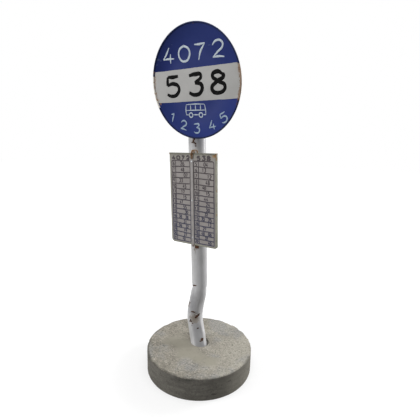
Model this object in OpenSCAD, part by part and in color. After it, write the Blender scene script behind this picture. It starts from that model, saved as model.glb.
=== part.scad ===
/* [Concrete base] */
// Radius of the cast base
base_radius = 290; // [260:1:320]
// Height of the cast base
base_height = 126; // [115:1:150]
// Rounding of the worn top edge
base_top_round = 12; // [6:1:20]
// Rounding of the bottom edge
base_bottom_round = 6; // [3:1:10]
// How far the tube's foot has pushed the mouth of its socket open
mouth_shift = 10; // [6:0.5:12]
// Way the mouth was pushed open, in degrees to the back from the right
mouth_turn = 34; // [0:1:60]
// How much wider the opened mouth is than the tube, all round
mouth_wider = 7; // [4:0.5:8]
// Depth of the opened mouth
mouth_depth = 16; // [8:1:24]
// Diameter of each anchor rod through the cast-in foot
rod_d = 12; // [8:1:14]
// Length of each anchor rod
rod_length = 190; // [150:5:200]
// Height of the lower rod above the tube's lower end, and of the upper rod above the lower one
rod_step = 20; // [17:1:26]

/* [Bent tube] */
// Outer diameter of the steel tube
pole_d = 89.1; // [80:0.1:95]
// Wall of the tube
pole_wall = 3.2; // [2.6:0.1:5]
// Place of the foot's axis on the base's top, to the right of the middle
foot_x = -18; // [-25:1:0]
// Place of the foot's axis on the base's top, behind the middle
foot_y = 17; // [0:1:25]
// Length of tube cast into the base
cast_in = 95; // [88:1:97]
// Lower bend, to the left of the foot
lower_bend_left = 52; // [30:1:60]
// Lower bend, behind the foot
lower_bend_back = 25; // [0:1:35]
// Lower bend, above the base's top
lower_bend_rise = 146; // [130:1:170]
// Upper bend, to the right of the lower one
upper_bend_right = 29; // [10:1:40]
// Upper bend, behind the lower one
upper_bend_back = 8; // [0:1:20]
// Upper bend, above the lower one
upper_bend_rise = 175; // [160:1:200]
// Radius of the lower bend along the tube's axis
lower_bend_radius = 120; // [90:1:150]
// Radius of the upper bend along the tube's axis
upper_bend_radius = 110; // [90:1:150]
// Flattening of the tube at the lower bend, as a share of its diameter
lower_flat = 0.07; // [0:0.01:0.12]
// Flattening of the tube at the upper bend, as a share of its diameter
upper_flat = 0.08; // [0:0.01:0.12]
// Lean of the upper tube towards the front, in degrees
lean_forward = 2.5; // [0:0.1:4]
// Lean of the upper tube to the left, in degrees
lean_left = 0.9; // [0:0.1:3]
// Length of tube above the upper disc rail's middle line
top_over = 50; // [30:1:80]
// Thickness of the tube's end cap
cap_t = 3; // [2:0.5:5]
// Depth of the cap's spigot inside the tube
cap_spigot = 16; // [8:1:25]

/* [Round sign] */
// Radius of the pressed disc
disc_r = 258.5; // [240:0.5:270]
// Sheet thickness of the disc
disc_t = 2; // [1.5:0.1:2.5]
// Diameter of the curled rim
rim_d = 8; // [7:0.1:10]
// Space between the curled rim and the wire inside it
rim_wire_gap = 0.5; // [0.3:0.1:0.8]
// Opening of the curl towards the face
rim_slit = 0.8; // [0.5:0.1:1.2]
// Height of the disc's middle along the upper tube
disc_height = 1098; // [1085:1:1110]
// Forward tilt of the disc against the tube, in degrees
disc_tilt = 4; // [1:0.5:5]
// Shift of the disc to the right of the tube
disc_shift = 39; // [0:1:45]
// Space between the disc's lower edge and the tube
disc_stand_off = 6; // [3:0.5:12]
// Top of the white band above the disc's middle
band_top = 64; // [50:1:80]
// Bottom of the white band below the disc's middle
band_bottom = 84; // [60:1:95]
// Thickness of the enamelled white band
band_t = 0.4; // [0.3:0.1:0.6]
// Space between the band and the curled rim
band_gap = 0.5; // [0.3:0.1:1]
// Distance of each disc rail's middle line in from the disc's edge
disc_rail_inset = 138.5; // [130:0.5:148]
// Length of each disc rail
disc_rail_length = 340; // [300:5:380]

/* [Timetable board] */
// Width of the board
board_w = 292; // [275:1:305]
// Height of the board
board_h = 479; // [460:1:500]
// Depth of the folded tray
board_depth = 12; // [9:1:15]
// Sheet thickness of the tray
board_t = 1.5; // [1.2:0.1:2]
// Rounding of the lower left corner
corner_left = 20; // [14:1:26]
// Rounding of the lower right corner
corner_right = 14; // [10:1:20]
// Rounding of both upper corners
corner_top = 4; // [3:1:8]
// Height of the board's middle along the upper tube
board_height = 519; // [500:1:530]
// Backward tilt of the board against the tube, in degrees
board_tilt = 2; // [0:0.5:3]
// Roll of the board, anticlockwise from the front, in degrees
board_roll = 1.1; // [0:0.1:2]
// Shift of the board to the right of the tube
board_shift = 15.5; // [0:0.5:20]
// Space between the board's top fold and the tube
board_stand_off = 5; // [3:0.5:8]
// Distance of each board rail's middle line in from the board's upper and lower edges
board_rail_inset = 89.5; // [80:0.5:100]
// Length of each board rail
board_rail_length = 230; // [200:5:250]
// Height of the drip strip's front leg
strip_leg = 5; // [4:0.5:8]
// Thickness of the drip strip
strip_t = 2; // [1.5:0.1:2.5]
// How far the drip strip stands past each side of the board
strip_over = 1; // [0.5:0.5:5]
// Width of the middle batten
batten_w = 16; // [14:0.5:20]
// Shift of the batten to the left of the board's middle
batten_left = 2; // [0:0.5:5]
// Thickness of the middle batten
batten_t = 2.5; // [2:0.1:3]
// Length of the batten's tab below the board
batten_tab = 9; // [5:0.5:12]
// Diameter of the batten's rivets
rivet_d = 5; // [4:0.1:6]
// Diameter of each rivet's head
rivet_head_d = 9.5; // [8:0.1:12]
// Height of each rivet's head
rivet_head_h = 2; // [1:0.1:2.5]
// Height of each rivet's clenched foot
rivet_foot_h = 1.5; // [1:0.1:2]
// Distance of the outer rivets from the board's top and bottom edges
rivet_inset = 40; // [30:1:60]

/* [Timetable sheets] */
// Thickness of each sheet
sheet_t = 0.5; // [0.3:0.1:0.8]
// Border of bare board round the sheets
sheet_border = 8; // [5:0.5:12]
// Rows in each table
table_rows = 16; // [12:1:18]
// Space between the two sheets, under the batten
sheet_gap = 7; // [6.5:0.5:9]
// Space between the drip strip and the sheets
sheet_clear = 1; // [0.5:0.5:3]
// Space between a sheet's outer and lower edges and its table
table_margin = 6; // [4:0.5:8]
// Space between a sheet's edge under the batten and its table
table_inset = 8.5; // [7:0.5:12]
// Height of the heading above each table
heading_h = 32; // [28:1:38]
// Width of the hours column
hour_w = 27; // [20:1:34]
// Width of a ruled line
rule_w = 1.8; // [1.2:0.1:2.4]
// Thickness of a ruled line's ink
rule_t = 0.2; // [0.2:0.1:0.4]
// Rounding of each table's top corners
table_round = 10; // [6:1:14]

/* [Rails and straps] */
// Height of each rail
rail_h = 38; // [34:1:44]
// Thickness of each rail
rail_t = 2.5; // [2:0.1:3]
// Thickness of each strap
strap_t = 3; // [2:0.1:4]
// Height of each strap
strap_h = 30; // [26:1:32]
// Length of each strap's ear
strap_ear = 30; // [26:1:36]
// Space between each strap and the tube
strap_fit = 0.2; // [0.1:0.1:0.5]
// Diameter of each clamp bolt
bolt_d = 8; // [6:1:10]
// Width of each bolt head across its flats
head_flats = 13; // [12:0.5:17]
// Height of each bolt head
head_h = 5.3; // [4:0.1:7]
// How far each washer stands past the bolt head
washer_over = 2; // [1:0.5:3]
// Height of each nut
nut_h = 6.5; // [4:0.1:8]
// Thickness of each washer
washer_t = 1.6; // [1:0.1:2]
// Length of thread past each nut
bolt_past = 2.5; // [1:0.5:3]
// Clearance round each bolt in its hole
bolt_clear = 0.5; // [0.3:0.1:0.8]

/* [Wire tie and foot bracket] */
// Diameter of the tie wire
wire_d = 3; // [2:0.1:4]
// Depth of the wire loop below the board's top, behind the board
wire_low = 14; // [10:1:20]
// Height of the hook above the board's top
wire_rise = 18; // [14:0.5:22]
// Space between the wire and what it is tied round
wire_gap = 0.2; // [0.1:0.1:0.3]
// Place of the hook behind the board, to the right of the tube's axis
hook_back_x = 28; // [24:1:32]
// Place of the hook before the board, to the right of the tube's axis
hook_front_x = 12; // [4:1:20]
// How far the hook's leg stands outside the loop's middle line
hook_out = 0.8; // [0.5:0.1:1.2]
// Radius of the hook's bends
hook_bend = 9; // [6:0.5:10]
// Space between the hook's end and the drip strip
hook_gap = 2; // [1:0.5:4]
// How far the wire hangs down in front of the board
wire_drop = 24; // [16:1:30]
// Width of the foot bracket
bracket_w = 22; // [18:1:30]
// Thickness of the foot bracket
bracket_t = 3; // [2:0.1:4]
// Length of the bracket's leg down the tube
bracket_leg = 30; // [26:1:36]
// Diameter of the bracket's bolt
bracket_bolt_d = 10; // [8:0.5:12]
// Width of the bracket bolt's head across its flats
bracket_head_flats = 16; // [13:0.5:18]
// Height of the bracket bolt's head
bracket_head_h = 6.5; // [5:0.5:8]
// Distance of the bracket's bolt below the bracket's upper leg
bracket_bolt_drop = 14.5; // [12:0.5:19]
// Turn of the bracket round the tube, to the right from the front, in degrees
bracket_turn = 21; // [0:1:25]

/* [Hidden] */
$fn = 96;
BIG = 900;
EPS = 1;
TUBE_SIDES = 72;
WIRE_SIDES = 32;
DISC_SIDES = 180;
LOWER_BEND_STEPS = 8;
UPPER_BEND_STEPS = 6;
ROD_TURN = 45;
SEAM_TURN = 90;
RAIL_BLANK = 120;
PAPER_ROUND = 1;

enamel_blue = [0.16, 0.2, 0.42];
enamel_white = [0.74, 0.74, 0.72];
tube_white = [0.72, 0.72, 0.73];
cast_grey = [0.56, 0.55, 0.5];
rust_brown = [0.42, 0.25, 0.15];
board_grey = [0.5, 0.5, 0.43];
sheet_grey = [0.62, 0.59, 0.57];
zinc_grey = [0.55, 0.57, 0.6];
ink_dark = [0.16, 0.13, 0.2];

pole_r = pole_d / 2;
bore_r = pole_r - pole_wall;
disc_rail_offset = disc_r - disc_rail_inset;
board_rail_offset = board_h / 2 - board_rail_inset;
upper_length = disc_height + disc_rail_offset + top_over;

// Corner points of the tube's axis
foot = [foot_x, foot_y, base_height];
lower_bend = foot + [-lower_bend_left, lower_bend_back, lower_bend_rise];
upper_bend = lower_bend + [upper_bend_right, upper_bend_back, upper_bend_rise];
upper_way = [
  -cos(lean_forward) * sin(lean_left),
  -sin(lean_forward),
  cos(lean_forward) * cos(lean_left)
];
lower_way = unit(lower_bend - foot);
cast_end = foot - cast_in * lower_way;
tube_top = upper_bend + upper_length * upper_way;

// Rings of the tube, each as middle, way, direction of the bend's middle and flattening
tube_rings = concat(
  [[cast_end, lower_way, [1, 0, 0], 0]],
  arc_rings(lower_bend, lower_way, unit(upper_bend - lower_bend), lower_bend_radius, lower_flat, LOWER_BEND_STEPS),
  arc_rings(upper_bend, unit(upper_bend - lower_bend), upper_way, upper_bend_radius, upper_flat, UPPER_BEND_STEPS),
  [[tube_top, upper_way, [1, 0, 0], 0]]
);

// Planes of the disc and the board, measured from the tube's axis
disc_seat = (pole_r + disc_stand_off) * cos(disc_tilt) + disc_r * sin(disc_tilt);
board_seat = (pole_r + board_stand_off) * cos(board_tilt) + board_h / 2 * sin(board_tilt);
rim_r = rim_d / 2;
face_r = disc_r - rim_d;
band_r = face_r - band_gap;

// Straps and bolts
strap_in = pole_r + strap_fit;
strap_out = strap_in + strap_t;
bolt_x = strap_out + strap_ear / 2;

// Sheets and tables, the left one narrower by the batten's shift
sheet_top = board_h / 2 - strip_leg - sheet_clear;
sheet_bottom = -board_h / 2 + sheet_border;
sheet_w_left = board_w / 2 - sheet_border - sheet_gap / 2 - batten_left;
sheet_w_right = sheet_w_left + 2 * batten_left;
table_top = sheet_top - heading_h;
table_bottom = sheet_bottom + table_margin;
table_h = table_top - table_bottom;

// Wire hook, measured along and across the tube
wire_r = wire_d / 2;
loop_r = pole_r + wire_r + wire_gap;
board_top_s = board_height + board_h / 2;
hook_back_y = sqrt(pow(loop_r + hook_out, 2) - pow(hook_back_x, 2));
// The board's face at its top edge, in front of the tube's axis
face_y = (board_seat + board_depth) / cos(board_tilt) - board_h / 2 * sin(board_tilt);
hook_y = face_y + strip_t + wire_r + hook_gap;
hook_length = norm([hook_back_x - hook_front_x, hook_y - hook_back_y]);
hook_turn = atan2(hook_back_x - hook_front_x, hook_y - hook_back_y);

// Foot bracket, below the board's middle along the tube's front
bracket_top = board_h / 2 * cos(board_tilt) - pole_r * sin(board_tilt);
// Distance from the tray's open back to the tube, along the board's bottom fold
bracket_reach = board_seat - pole_r + board_h / 2 * sin(board_tilt);
bracket_bolt_s = board_height - bracket_top - bracket_t - bracket_bolt_drop;

function unit(v) = v / norm(v);
// Half of the angle by which the way turns from a to b
function half_turn(a, b) = acos(min(1, unit(a) * unit(b))) / 2;

// Rings along one bend, tangent to both ways at its corner
function arc_rings(corner, way_in, way_out, bend, flat, steps) =
  let(
    half = half_turn(way_in, way_out),
    inward = unit(way_out - way_in * (way_in * way_out)),
    middle = corner - bend * tan(half) * way_in + bend * inward
  )
  [for (i = [0 : steps])
    let(
      a = 2 * half * i / steps,
      out = way_in * sin(a) - inward * cos(a)
    )
    [middle + bend * out, way_in * cos(a) + inward * sin(a), -out, flat * pow(sin(180 * i / steps), 2)]
  ];

// Points of one ring, flattened towards the bend's middle and widened across it
function ring_points(ring, r) =
  let(
    side = unit(cross([0, 1, 0], ring[1])),
    back = cross(ring[1], side)
  )
  [for (k = [0 : TUBE_SIDES - 1])
    let(
      p = r * (cos(360 * k / TUBE_SIDES) * side + sin(360 * k / TUBE_SIDES) * back),
      depth = (p * ring[2]) * ring[2]
    )
    ring[0] + p - ring[3] * depth + ring[3] / 2 * (p - depth)
  ];

// Tube swept through rings, with an open bore
module swept_tube(rings, outer, inner) {
  n = TUBE_SIDES;
  last = len(rings) - 1;
  bore = n * (last + 1);
  polyhedron(
    points = concat(
      [for (ring = rings) each ring_points(ring, outer)],
      [for (ring = rings) each ring_points(ring, inner)]
    ),
    faces = concat(
      [for (i = [0 : last - 1], k = [0 : n - 1])
        [i * n + k, (i + 1) * n + k, (i + 1) * n + (k + 1) % n, i * n + (k + 1) % n]],
      [for (i = [0 : last - 1], k = [0 : n - 1])
        [bore + i * n + k, bore + i * n + (k + 1) % n, bore + (i + 1) * n + (k + 1) % n, bore + (i + 1) * n + k]],
      [for (k = [0 : n - 1])
        [k, (k + 1) % n, bore + (k + 1) % n, bore + k]],
      [for (k = [0 : n - 1])
        [last * n + k, bore + last * n + k, bore + last * n + (k + 1) % n, last * n + (k + 1) % n]]
    )
  );
}

// Places children with their z axis along a way
module along(p, way) {
  u = unit(way);
  translate(p) rotate([0, acos(u[2]), atan2(u[1], u[0])]) children();
}

// Frame on the upper tube: z along the tube, y to the back
module on_tube(s) {
  translate(upper_bend + s * upper_way) rotate([lean_forward, -lean_left, 0]) children();
}

// Frame on the disc's back: x right, y up, z to the front
module on_disc() {
  on_tube(disc_height) rotate([disc_tilt, 0, 0]) rotate([90, 0, 0])
    translate([disc_shift, 0, disc_seat]) children();
}

// Frame on the tray's open back: x right, y up, z to the front
module on_board() {
  on_tube(board_height) rotate([-board_tilt, 0, 0]) rotate([90, 0, 0])
    translate([board_shift, 0, board_seat]) rotate([0, 0, board_roll]) children();
}

// Round bar along corner points, with a true arc at each inner corner
module bent_bar(points, bends, r) {
  last = len(points) - 1;
  for (i = [0 : last - 1]) {
    a = points[i];
    b = points[i + 1];
    way = unit(b - a);
    cut_a = i == 0 ? 0 : bends[i - 1] * tan(half_turn(a - points[i - 1], b - a));
    cut_b = i == last - 1 ? 0 : bends[i] * tan(half_turn(b - a, points[i + 2] - b));
    along(a + cut_a * way, way) cylinder(r = r, h = norm(b - a) - cut_a - cut_b);
  }
  for (i = [1 : last - 1])
    bend_arc(points[i], unit(points[i] - points[i - 1]), unit(points[i + 1] - points[i]), bends[i - 1], r);
}

// One arc of a round bar, tangent to both ways at a corner
module bend_arc(corner, way_in, way_out, bend, r) {
  half = half_turn(way_in, way_out);
  start = corner - bend * tan(half) * way_in;
  side = unit(way_out - way_in * (way_in * way_out));
  middle = start + bend * side;
  turn = cross(-side, way_in);
  multmatrix([
    [-side[0], way_in[0], turn[0], middle[0]],
    [-side[1], way_in[1], turn[1], middle[1]],
    [-side[2], way_in[2], turn[2], middle[2]],
    [0, 0, 0, 1]
  ])
    rotate_extrude(angle = 2 * half) translate([bend, 0]) circle(r);
}

// Rectangle from the lower left corner, each corner rounded by its own radius
module rounded_rectangle(w, h, low_left, low_right, top) {
  difference() {
    square([w, h]);
    corner_cut([0, 0], low_left, 0);
    corner_cut([w, 0], low_right, 90);
    corner_cut([w, h], top, 180);
    corner_cut([0, h], top, 270);
  }
}

module corner_cut(place, r, turn) {
  translate(place) rotate(turn) difference() {
    translate([-EPS, -EPS]) square(r + EPS);
    translate([r, r]) circle(r);
  }
}

module hexagon(flats, h) {
  cylinder(d = flats / cos(30), h = h, $fn = 6);
}

module concrete_base() {
  color(cast_grey) difference() {
    rotate_extrude() base_profile();
    along(cast_end, lower_way) rotate(SEAM_TURN) cylinder(r = pole_r, h = cast_in + base_height);
    translate([foot_x, foot_y, base_height - mouth_depth]) rotate(mouth_turn) translate([mouth_shift, 0, 0])
      cylinder(r = pole_r + mouth_wider, h = mouth_depth + EPS);
    anchor_bars();
  }
}

module base_profile() {
  difference() {
    square([base_radius, base_height]);
    corner_cut([base_radius, 0], base_bottom_round, 90);
    corner_cut([base_radius, base_height], base_top_round, 180);
  }
}

// Two rods that cross in the tube's foot, one above the other
module anchor_bars() {
  along(cast_end, lower_way) for (i = [0, 1])
    rotate(90 * i + ROD_TURN) translate([-rod_length / 2, 0, rod_step * (i + 1)])
      rotate([0, 90, 0]) cylinder(d = rod_d, h = rod_length);
}

module anchor_rods() {
  color(rust_brown) anchor_bars();
}

module pole() {
  color(tube_white) difference() {
    swept_tube(tube_rings, pole_r, bore_r);
    anchor_bars();
    bracket_bolt_place() cylinder(d = bracket_bolt_d, h = pole_d);
  }
}

module pole_cap() {
  color(tube_white) on_tube(upper_length) {
    cylinder(r = pole_r, h = cap_t);
    translate([0, 0, -cap_spigot]) difference() {
      cylinder(r = bore_r - strap_fit, h = cap_spigot);
      translate([0, 0, -EPS]) cylinder(r = bore_r - strap_fit - cap_t, h = cap_spigot + EPS);
    }
  }
}

module sign_disc() {
  color(enamel_blue) on_disc() rotate_extrude($fn = DISC_SIDES) {
    square([disc_r - rim_r, disc_t]);
    difference() {
      translate([disc_r - rim_r, rim_r]) circle(rim_r);
      translate([disc_r - rim_r, rim_r]) circle(rim_r - disc_t);
      translate([face_r - EPS, disc_t]) square([rim_r, rim_slit]);
    }
  }
}

module rim_wire() {
  color(rust_brown) on_disc() rotate_extrude($fn = DISC_SIDES)
    translate([disc_r - rim_r, rim_r]) circle(rim_r - disc_t - rim_wire_gap);
}

module white_band() {
  color(enamel_white) on_disc() translate([0, 0, disc_t]) linear_extrude(band_t) intersection() {
    circle(band_r, $fn = DISC_SIDES);
    translate([-disc_r, -band_bottom]) square([2 * disc_r, band_top + band_bottom]);
  }
}

// Open channel that stands on the tube and reaches to a plate in front
module rail(s, shift, length) {
  difference() {
    on_tube(s) difference() {
      translate([shift - length / 2, -pole_r - RAIL_BLANK, -rail_h / 2]) cube([length, RAIL_BLANK, rail_h]);
      translate([shift - length / 2 - EPS, -pole_r - RAIL_BLANK - EPS, -rail_h / 2 + rail_t])
        cube([length + 2 * EPS, RAIL_BLANK + EPS - rail_t, rail_h - 2 * rail_t]);
      for (side = [-1, 1]) translate([side * bolt_x, 0, 0])
        rotate([90, 0, 0]) cylinder(r = bolt_d / 2 + bolt_clear, h = pole_d);
    }
    children();
  }
}

module disc_rail(side) {
  color(tube_white) rail(disc_height + side * disc_rail_offset, disc_shift, disc_rail_length)
    on_disc() translate([-BIG, -BIG, 0]) cube([2 * BIG, 2 * BIG, BIG]);
}

module disc_rail_upper() {
  disc_rail(1);
}

module disc_rail_lower() {
  disc_rail(-1);
}

module board_rail(side) {
  color(board_grey) rail(board_height + side * board_rail_offset, board_shift, board_rail_length)
    on_board() translate([-BIG, -BIG, board_depth - board_t]) cube([2 * BIG, 2 * BIG, BIG]);
}

module board_rail_upper() {
  board_rail(1);
}

module board_rail_lower() {
  board_rail(-1);
}

// Strap round the back of the tube, with an ear on each side
module strap(s) {
  color(zinc_grey) on_tube(s) difference() {
    translate([0, 0, -strap_h / 2]) linear_extrude(strap_h) difference() {
      union() {
        circle(strap_out);
        translate([-strap_out, -pole_r]) square([2 * strap_out, pole_r]);
        translate([-strap_out - strap_ear, -pole_r]) square([2 * (strap_out + strap_ear), strap_t]);
      }
      circle(strap_in);
      translate([-strap_in, -pole_d]) square([2 * strap_in, pole_d]);
      translate([-pole_d, -2 * pole_d]) square([2 * pole_d, 2 * pole_d - pole_r]);
    }
    for (side = [-1, 1]) translate([side * bolt_x, 0, 0])
      rotate([90, 0, 0]) cylinder(r = bolt_d / 2 + bolt_clear, h = pole_d);
  }
}

module disc_strap_upper() {
  strap(disc_height + disc_rail_offset);
}

module disc_strap_lower() {
  strap(disc_height - disc_rail_offset);
}

module board_strap_upper() {
  strap(board_height + board_rail_offset);
}

module board_strap_lower() {
  strap(board_height - board_rail_offset);
}

// Places children at the four bolts of two straps, z to the front from an ear's back
module at_bolts(middle, offset) {
  for (up = [-1, 1], side = [-1, 1])
    on_tube(middle + up * offset) translate([side * bolt_x, strap_t - pole_r, 0])
      rotate([90, 0, 0]) children();
}

module bolt() {
  grip = washer_t + strap_t + rail_t + nut_h + bolt_past;
  color(zinc_grey) {
    translate([0, 0, -washer_t - head_h]) hexagon(head_flats, head_h);
    translate([0, 0, -washer_t]) cylinder(d = bolt_d, h = grip);
  }
}

module washer() {
  color(zinc_grey) translate([0, 0, -washer_t]) difference() {
    cylinder(d = head_flats + 2 * washer_over, h = washer_t);
    translate([0, 0, -EPS]) cylinder(r = bolt_d / 2 + bolt_clear, h = washer_t + 2 * EPS);
  }
}

module nut() {
  color(zinc_grey) translate([0, 0, strap_t + rail_t]) difference() {
    hexagon(head_flats, nut_h);
    translate([0, 0, -EPS]) cylinder(d = bolt_d, h = nut_h + 2 * EPS);
  }
}

module disc_bolts() {
  at_bolts(disc_height, disc_rail_offset) bolt();
}

module disc_washers() {
  at_bolts(disc_height, disc_rail_offset) washer();
}

module disc_nuts() {
  at_bolts(disc_height, disc_rail_offset) nut();
}

module board_bolts() {
  at_bolts(board_height, board_rail_offset) bolt();
}

module board_washers() {
  at_bolts(board_height, board_rail_offset) washer();
}

module board_nuts() {
  at_bolts(board_height, board_rail_offset) nut();
}

// Outline of the board, drawn inwards by an inset
module board_outline(inset) {
  translate([-board_w / 2 + inset, -board_h / 2 + inset])
    rounded_rectangle(
      board_w - 2 * inset, board_h - 2 * inset,
      corner_left - inset, corner_right - inset, corner_top - inset
    );
}

module rivet_places() {
  for (up = [-1, 0, 1]) translate([-batten_left, up * (board_h / 2 - rivet_inset)]) children();
}

module timetable_board() {
  color(board_grey) on_board() difference() {
    linear_extrude(board_depth) board_outline(0);
    translate([0, 0, -EPS]) linear_extrude(board_depth - board_t + EPS) board_outline(board_t);
    rivet_places() cylinder(d = rivet_d, h = board_depth + EPS);
  }
}

// Angle strip hooked over the board's top fold
module drip_strip() {
  w = board_w + 2 * strip_over;
  color(board_grey) on_board() translate([-w / 2, board_h / 2, 0]) {
    cube([w, strip_t, board_depth + strip_t]);
    translate([0, -strip_leg, board_depth]) cube([w, strip_leg + strip_t, strip_t]);
  }
}

// One sheet, with the board's own rounding at its outer lower corner
module sheet(side) {
  outer = side < 0 ? corner_left : corner_right;
  w = side < 0 ? sheet_w_left : sheet_w_right;
  color(sheet_grey) on_board() translate([-batten_left, 0, board_depth]) linear_extrude(sheet_t)
    mirror([side < 0 ? 1 : 0, 0]) translate([sheet_gap / 2, sheet_bottom])
      rounded_rectangle(
        w, sheet_top - sheet_bottom,
        PAPER_ROUND, max(PAPER_ROUND, outer - sheet_border), PAPER_ROUND
      );
}

module timetable_sheet_left() {
  sheet(-1);
}

module timetable_sheet_right() {
  sheet(1);
}

// Ruled frame, hours column and rows of one table
module table_rules(side) {
  w = (side < 0 ? sheet_w_left : sheet_w_right) - table_inset - table_margin;
  left = -batten_left + (side < 0 ? -sheet_gap / 2 - table_inset - w : sheet_gap / 2 + table_inset);
  pitch = table_h / table_rows;
  color(ink_dark) on_board() translate([left, table_bottom, board_depth + sheet_t])
    linear_extrude(rule_t) {
      difference() {
        rounded_rectangle(w, table_h, PAPER_ROUND, PAPER_ROUND, table_round);
        translate([rule_w, rule_w])
          rounded_rectangle(w - 2 * rule_w, table_h - 2 * rule_w, PAPER_ROUND, PAPER_ROUND, table_round - rule_w);
      }
      translate([hour_w, 0]) square([rule_w, table_h]);
      for (row = [1 : table_rows - 1])
        translate([rule_w / 2, row * pitch - rule_w / 2]) square([w - rule_w, rule_w]);
    }
}

module table_rules_left() {
  table_rules(-1);
}

module table_rules_right() {
  table_rules(1);
}

module middle_batten() {
  color(board_grey) on_board() difference() {
    translate([-batten_left - batten_w / 2, -board_h / 2 - batten_tab, board_depth + sheet_t])
      cube([batten_w, sheet_top + board_h / 2 + batten_tab, batten_t]);
    rivet_places() cylinder(d = rivet_d, h = 2 * board_depth);
  }
}

module batten_rivets() {
  grip = board_t + sheet_t + batten_t;
  color(zinc_grey) on_board() rivet_places() translate([0, 0, board_depth - board_t]) {
    cylinder(d = rivet_d, h = grip);
    translate([0, 0, grip]) cylinder(d1 = rivet_head_d, d2 = rivet_d, h = rivet_head_h);
    translate([0, 0, -rivet_foot_h]) cylinder(d = rivet_head_d, h = rivet_foot_h);
  }
}

// Loop round the tube behind the board, and a hook from it over the board's top edge
module wire_tie() {
  color(rust_brown) on_tube(board_top_s) {
    translate([0, 0, -wire_low]) rotate_extrude() translate([loop_r, 0]) circle(wire_r, $fn = WIRE_SIDES);
    translate([hook_back_x, -hook_back_y, 0]) rotate([0, 0, -hook_turn]) bent_bar(
      [[0, 0, -wire_low], [0, 0, wire_rise], [0, -hook_length, wire_rise], [0, -hook_length, -wire_drop]],
      [hook_bend, hook_bend], wire_r, $fn = WIRE_SIDES
    );
  }
}

// Places children at the bracket bolt's axis on the tube, z away from the tube
module bracket_bolt_place() {
  on_tube(bracket_bolt_s) rotate(bracket_turn) rotate([90, 0, 0]) children();
}

// Angle under the board's bottom fold, with a leg down the tube
module foot_bracket() {
  color(rust_brown) difference() {
    union() {
      on_board() translate([-board_shift, -board_h / 2 - bracket_t, -bracket_reach - pole_r])
        rotate([0, bracket_turn, 0]) translate([-bracket_w / 2, 0, pole_r])
          cube([bracket_w, bracket_t, bracket_reach + board_depth]);
      on_tube(board_height - bracket_top) rotate(bracket_turn)
        translate([-bracket_w / 2, -pole_r - bracket_t, -bracket_leg]) cube([bracket_w, bracket_t, bracket_leg]);
    }
    bracket_bolt_place() cylinder(d = bracket_bolt_d, h = pole_d);
  }
}

module foot_bracket_bolt() {
  color(rust_brown) bracket_bolt_place() {
    translate([0, 0, bore_r - bolt_past]) cylinder(d = bracket_bolt_d, h = pole_wall + bracket_t + bolt_past);
    translate([0, 0, pole_r + bracket_t]) hexagon(bracket_head_flats, bracket_head_h);
  }
}

concrete_base();
anchor_rods();
pole();
pole_cap();
sign_disc();
rim_wire();
white_band();
disc_rail_upper();
disc_rail_lower();
disc_strap_upper();
disc_strap_lower();
disc_bolts();
disc_washers();
disc_nuts();
timetable_board();
drip_strip();
timetable_sheet_left();
timetable_sheet_right();
table_rules_left();
table_rules_right();
middle_batten();
batten_rivets();
board_rail_upper();
board_rail_lower();
board_strap_upper();
board_strap_lower();
board_bolts();
board_washers();
board_nuts();
wire_tie();
foot_bracket();
foot_bracket_bolt();
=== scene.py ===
import math
import random

import bmesh
import bpy
from mathutils import Euler, Matrix, Vector, noise


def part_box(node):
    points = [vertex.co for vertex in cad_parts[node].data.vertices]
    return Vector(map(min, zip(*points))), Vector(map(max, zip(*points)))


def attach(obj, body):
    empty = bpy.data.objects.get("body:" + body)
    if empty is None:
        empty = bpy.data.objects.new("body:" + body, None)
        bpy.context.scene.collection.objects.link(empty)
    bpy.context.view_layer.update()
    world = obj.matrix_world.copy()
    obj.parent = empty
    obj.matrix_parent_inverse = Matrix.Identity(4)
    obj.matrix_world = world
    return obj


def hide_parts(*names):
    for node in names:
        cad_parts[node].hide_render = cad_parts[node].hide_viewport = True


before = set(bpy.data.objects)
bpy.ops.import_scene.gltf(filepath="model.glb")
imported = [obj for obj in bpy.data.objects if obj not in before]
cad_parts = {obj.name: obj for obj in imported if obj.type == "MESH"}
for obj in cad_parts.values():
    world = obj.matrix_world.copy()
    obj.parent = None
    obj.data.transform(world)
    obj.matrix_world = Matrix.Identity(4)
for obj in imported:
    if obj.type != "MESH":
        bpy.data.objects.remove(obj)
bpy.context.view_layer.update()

# Camera: held at chest height in front of the sign and to its right, looking a little down.
# Its three directions are unit vectors in the part's own frame.
camera_data = bpy.data.cameras.new("camera")
camera_data.sensor_width = 36
camera_data.lens = 29.98
camera_place = Vector((1.015, -1.4748, 1.307))
camera_right = Vector((0.8323, 0.5537, 0.0274)).normalized()
camera_up = Vector((-0.1414, 0.1642, 0.9762)).normalized()
camera_back = camera_right.cross(camera_up)
camera = bpy.data.objects.new("camera", camera_data)
camera_turn = Matrix((camera_right, camera_up, camera_back)).transposed()
camera.matrix_world = Matrix.Translation(camera_place) @ camera_turn.to_4x4()
bpy.context.scene.collection.objects.link(camera)
bpy.context.scene.camera = camera
bpy.context.scene.view_settings.view_transform = "Standard"


# Studio: a pale floor, an even pale sky and three soft lamps, one overhead and one at each side.
# The floor and the sky show as white, and the floor keeps the base's shadow.
def add_node(tree, kind, **settings):
    node = tree.nodes.new(kind)
    for name, value in settings.items():
        socket = node.inputs.get(name.replace("_", " "))
        if socket is not None:
            socket.default_value = value
        else:
            setattr(node, name, value)
    return node


def seen_directly(tree):
    """One for rays that show the background: straight, through glass or off metal."""
    path = add_node(tree, "ShaderNodeLightPath")
    share = path.outputs["Is Camera Ray"]
    for ray in ("Is Transmission Ray", "Is Glossy Ray"):
        either = add_node(tree, "ShaderNodeMath", operation="MAXIMUM")
        tree.links.new(share, either.inputs[0])
        tree.links.new(path.outputs[ray], either.inputs[1])
        share = either.outputs[0]
    return share


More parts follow.
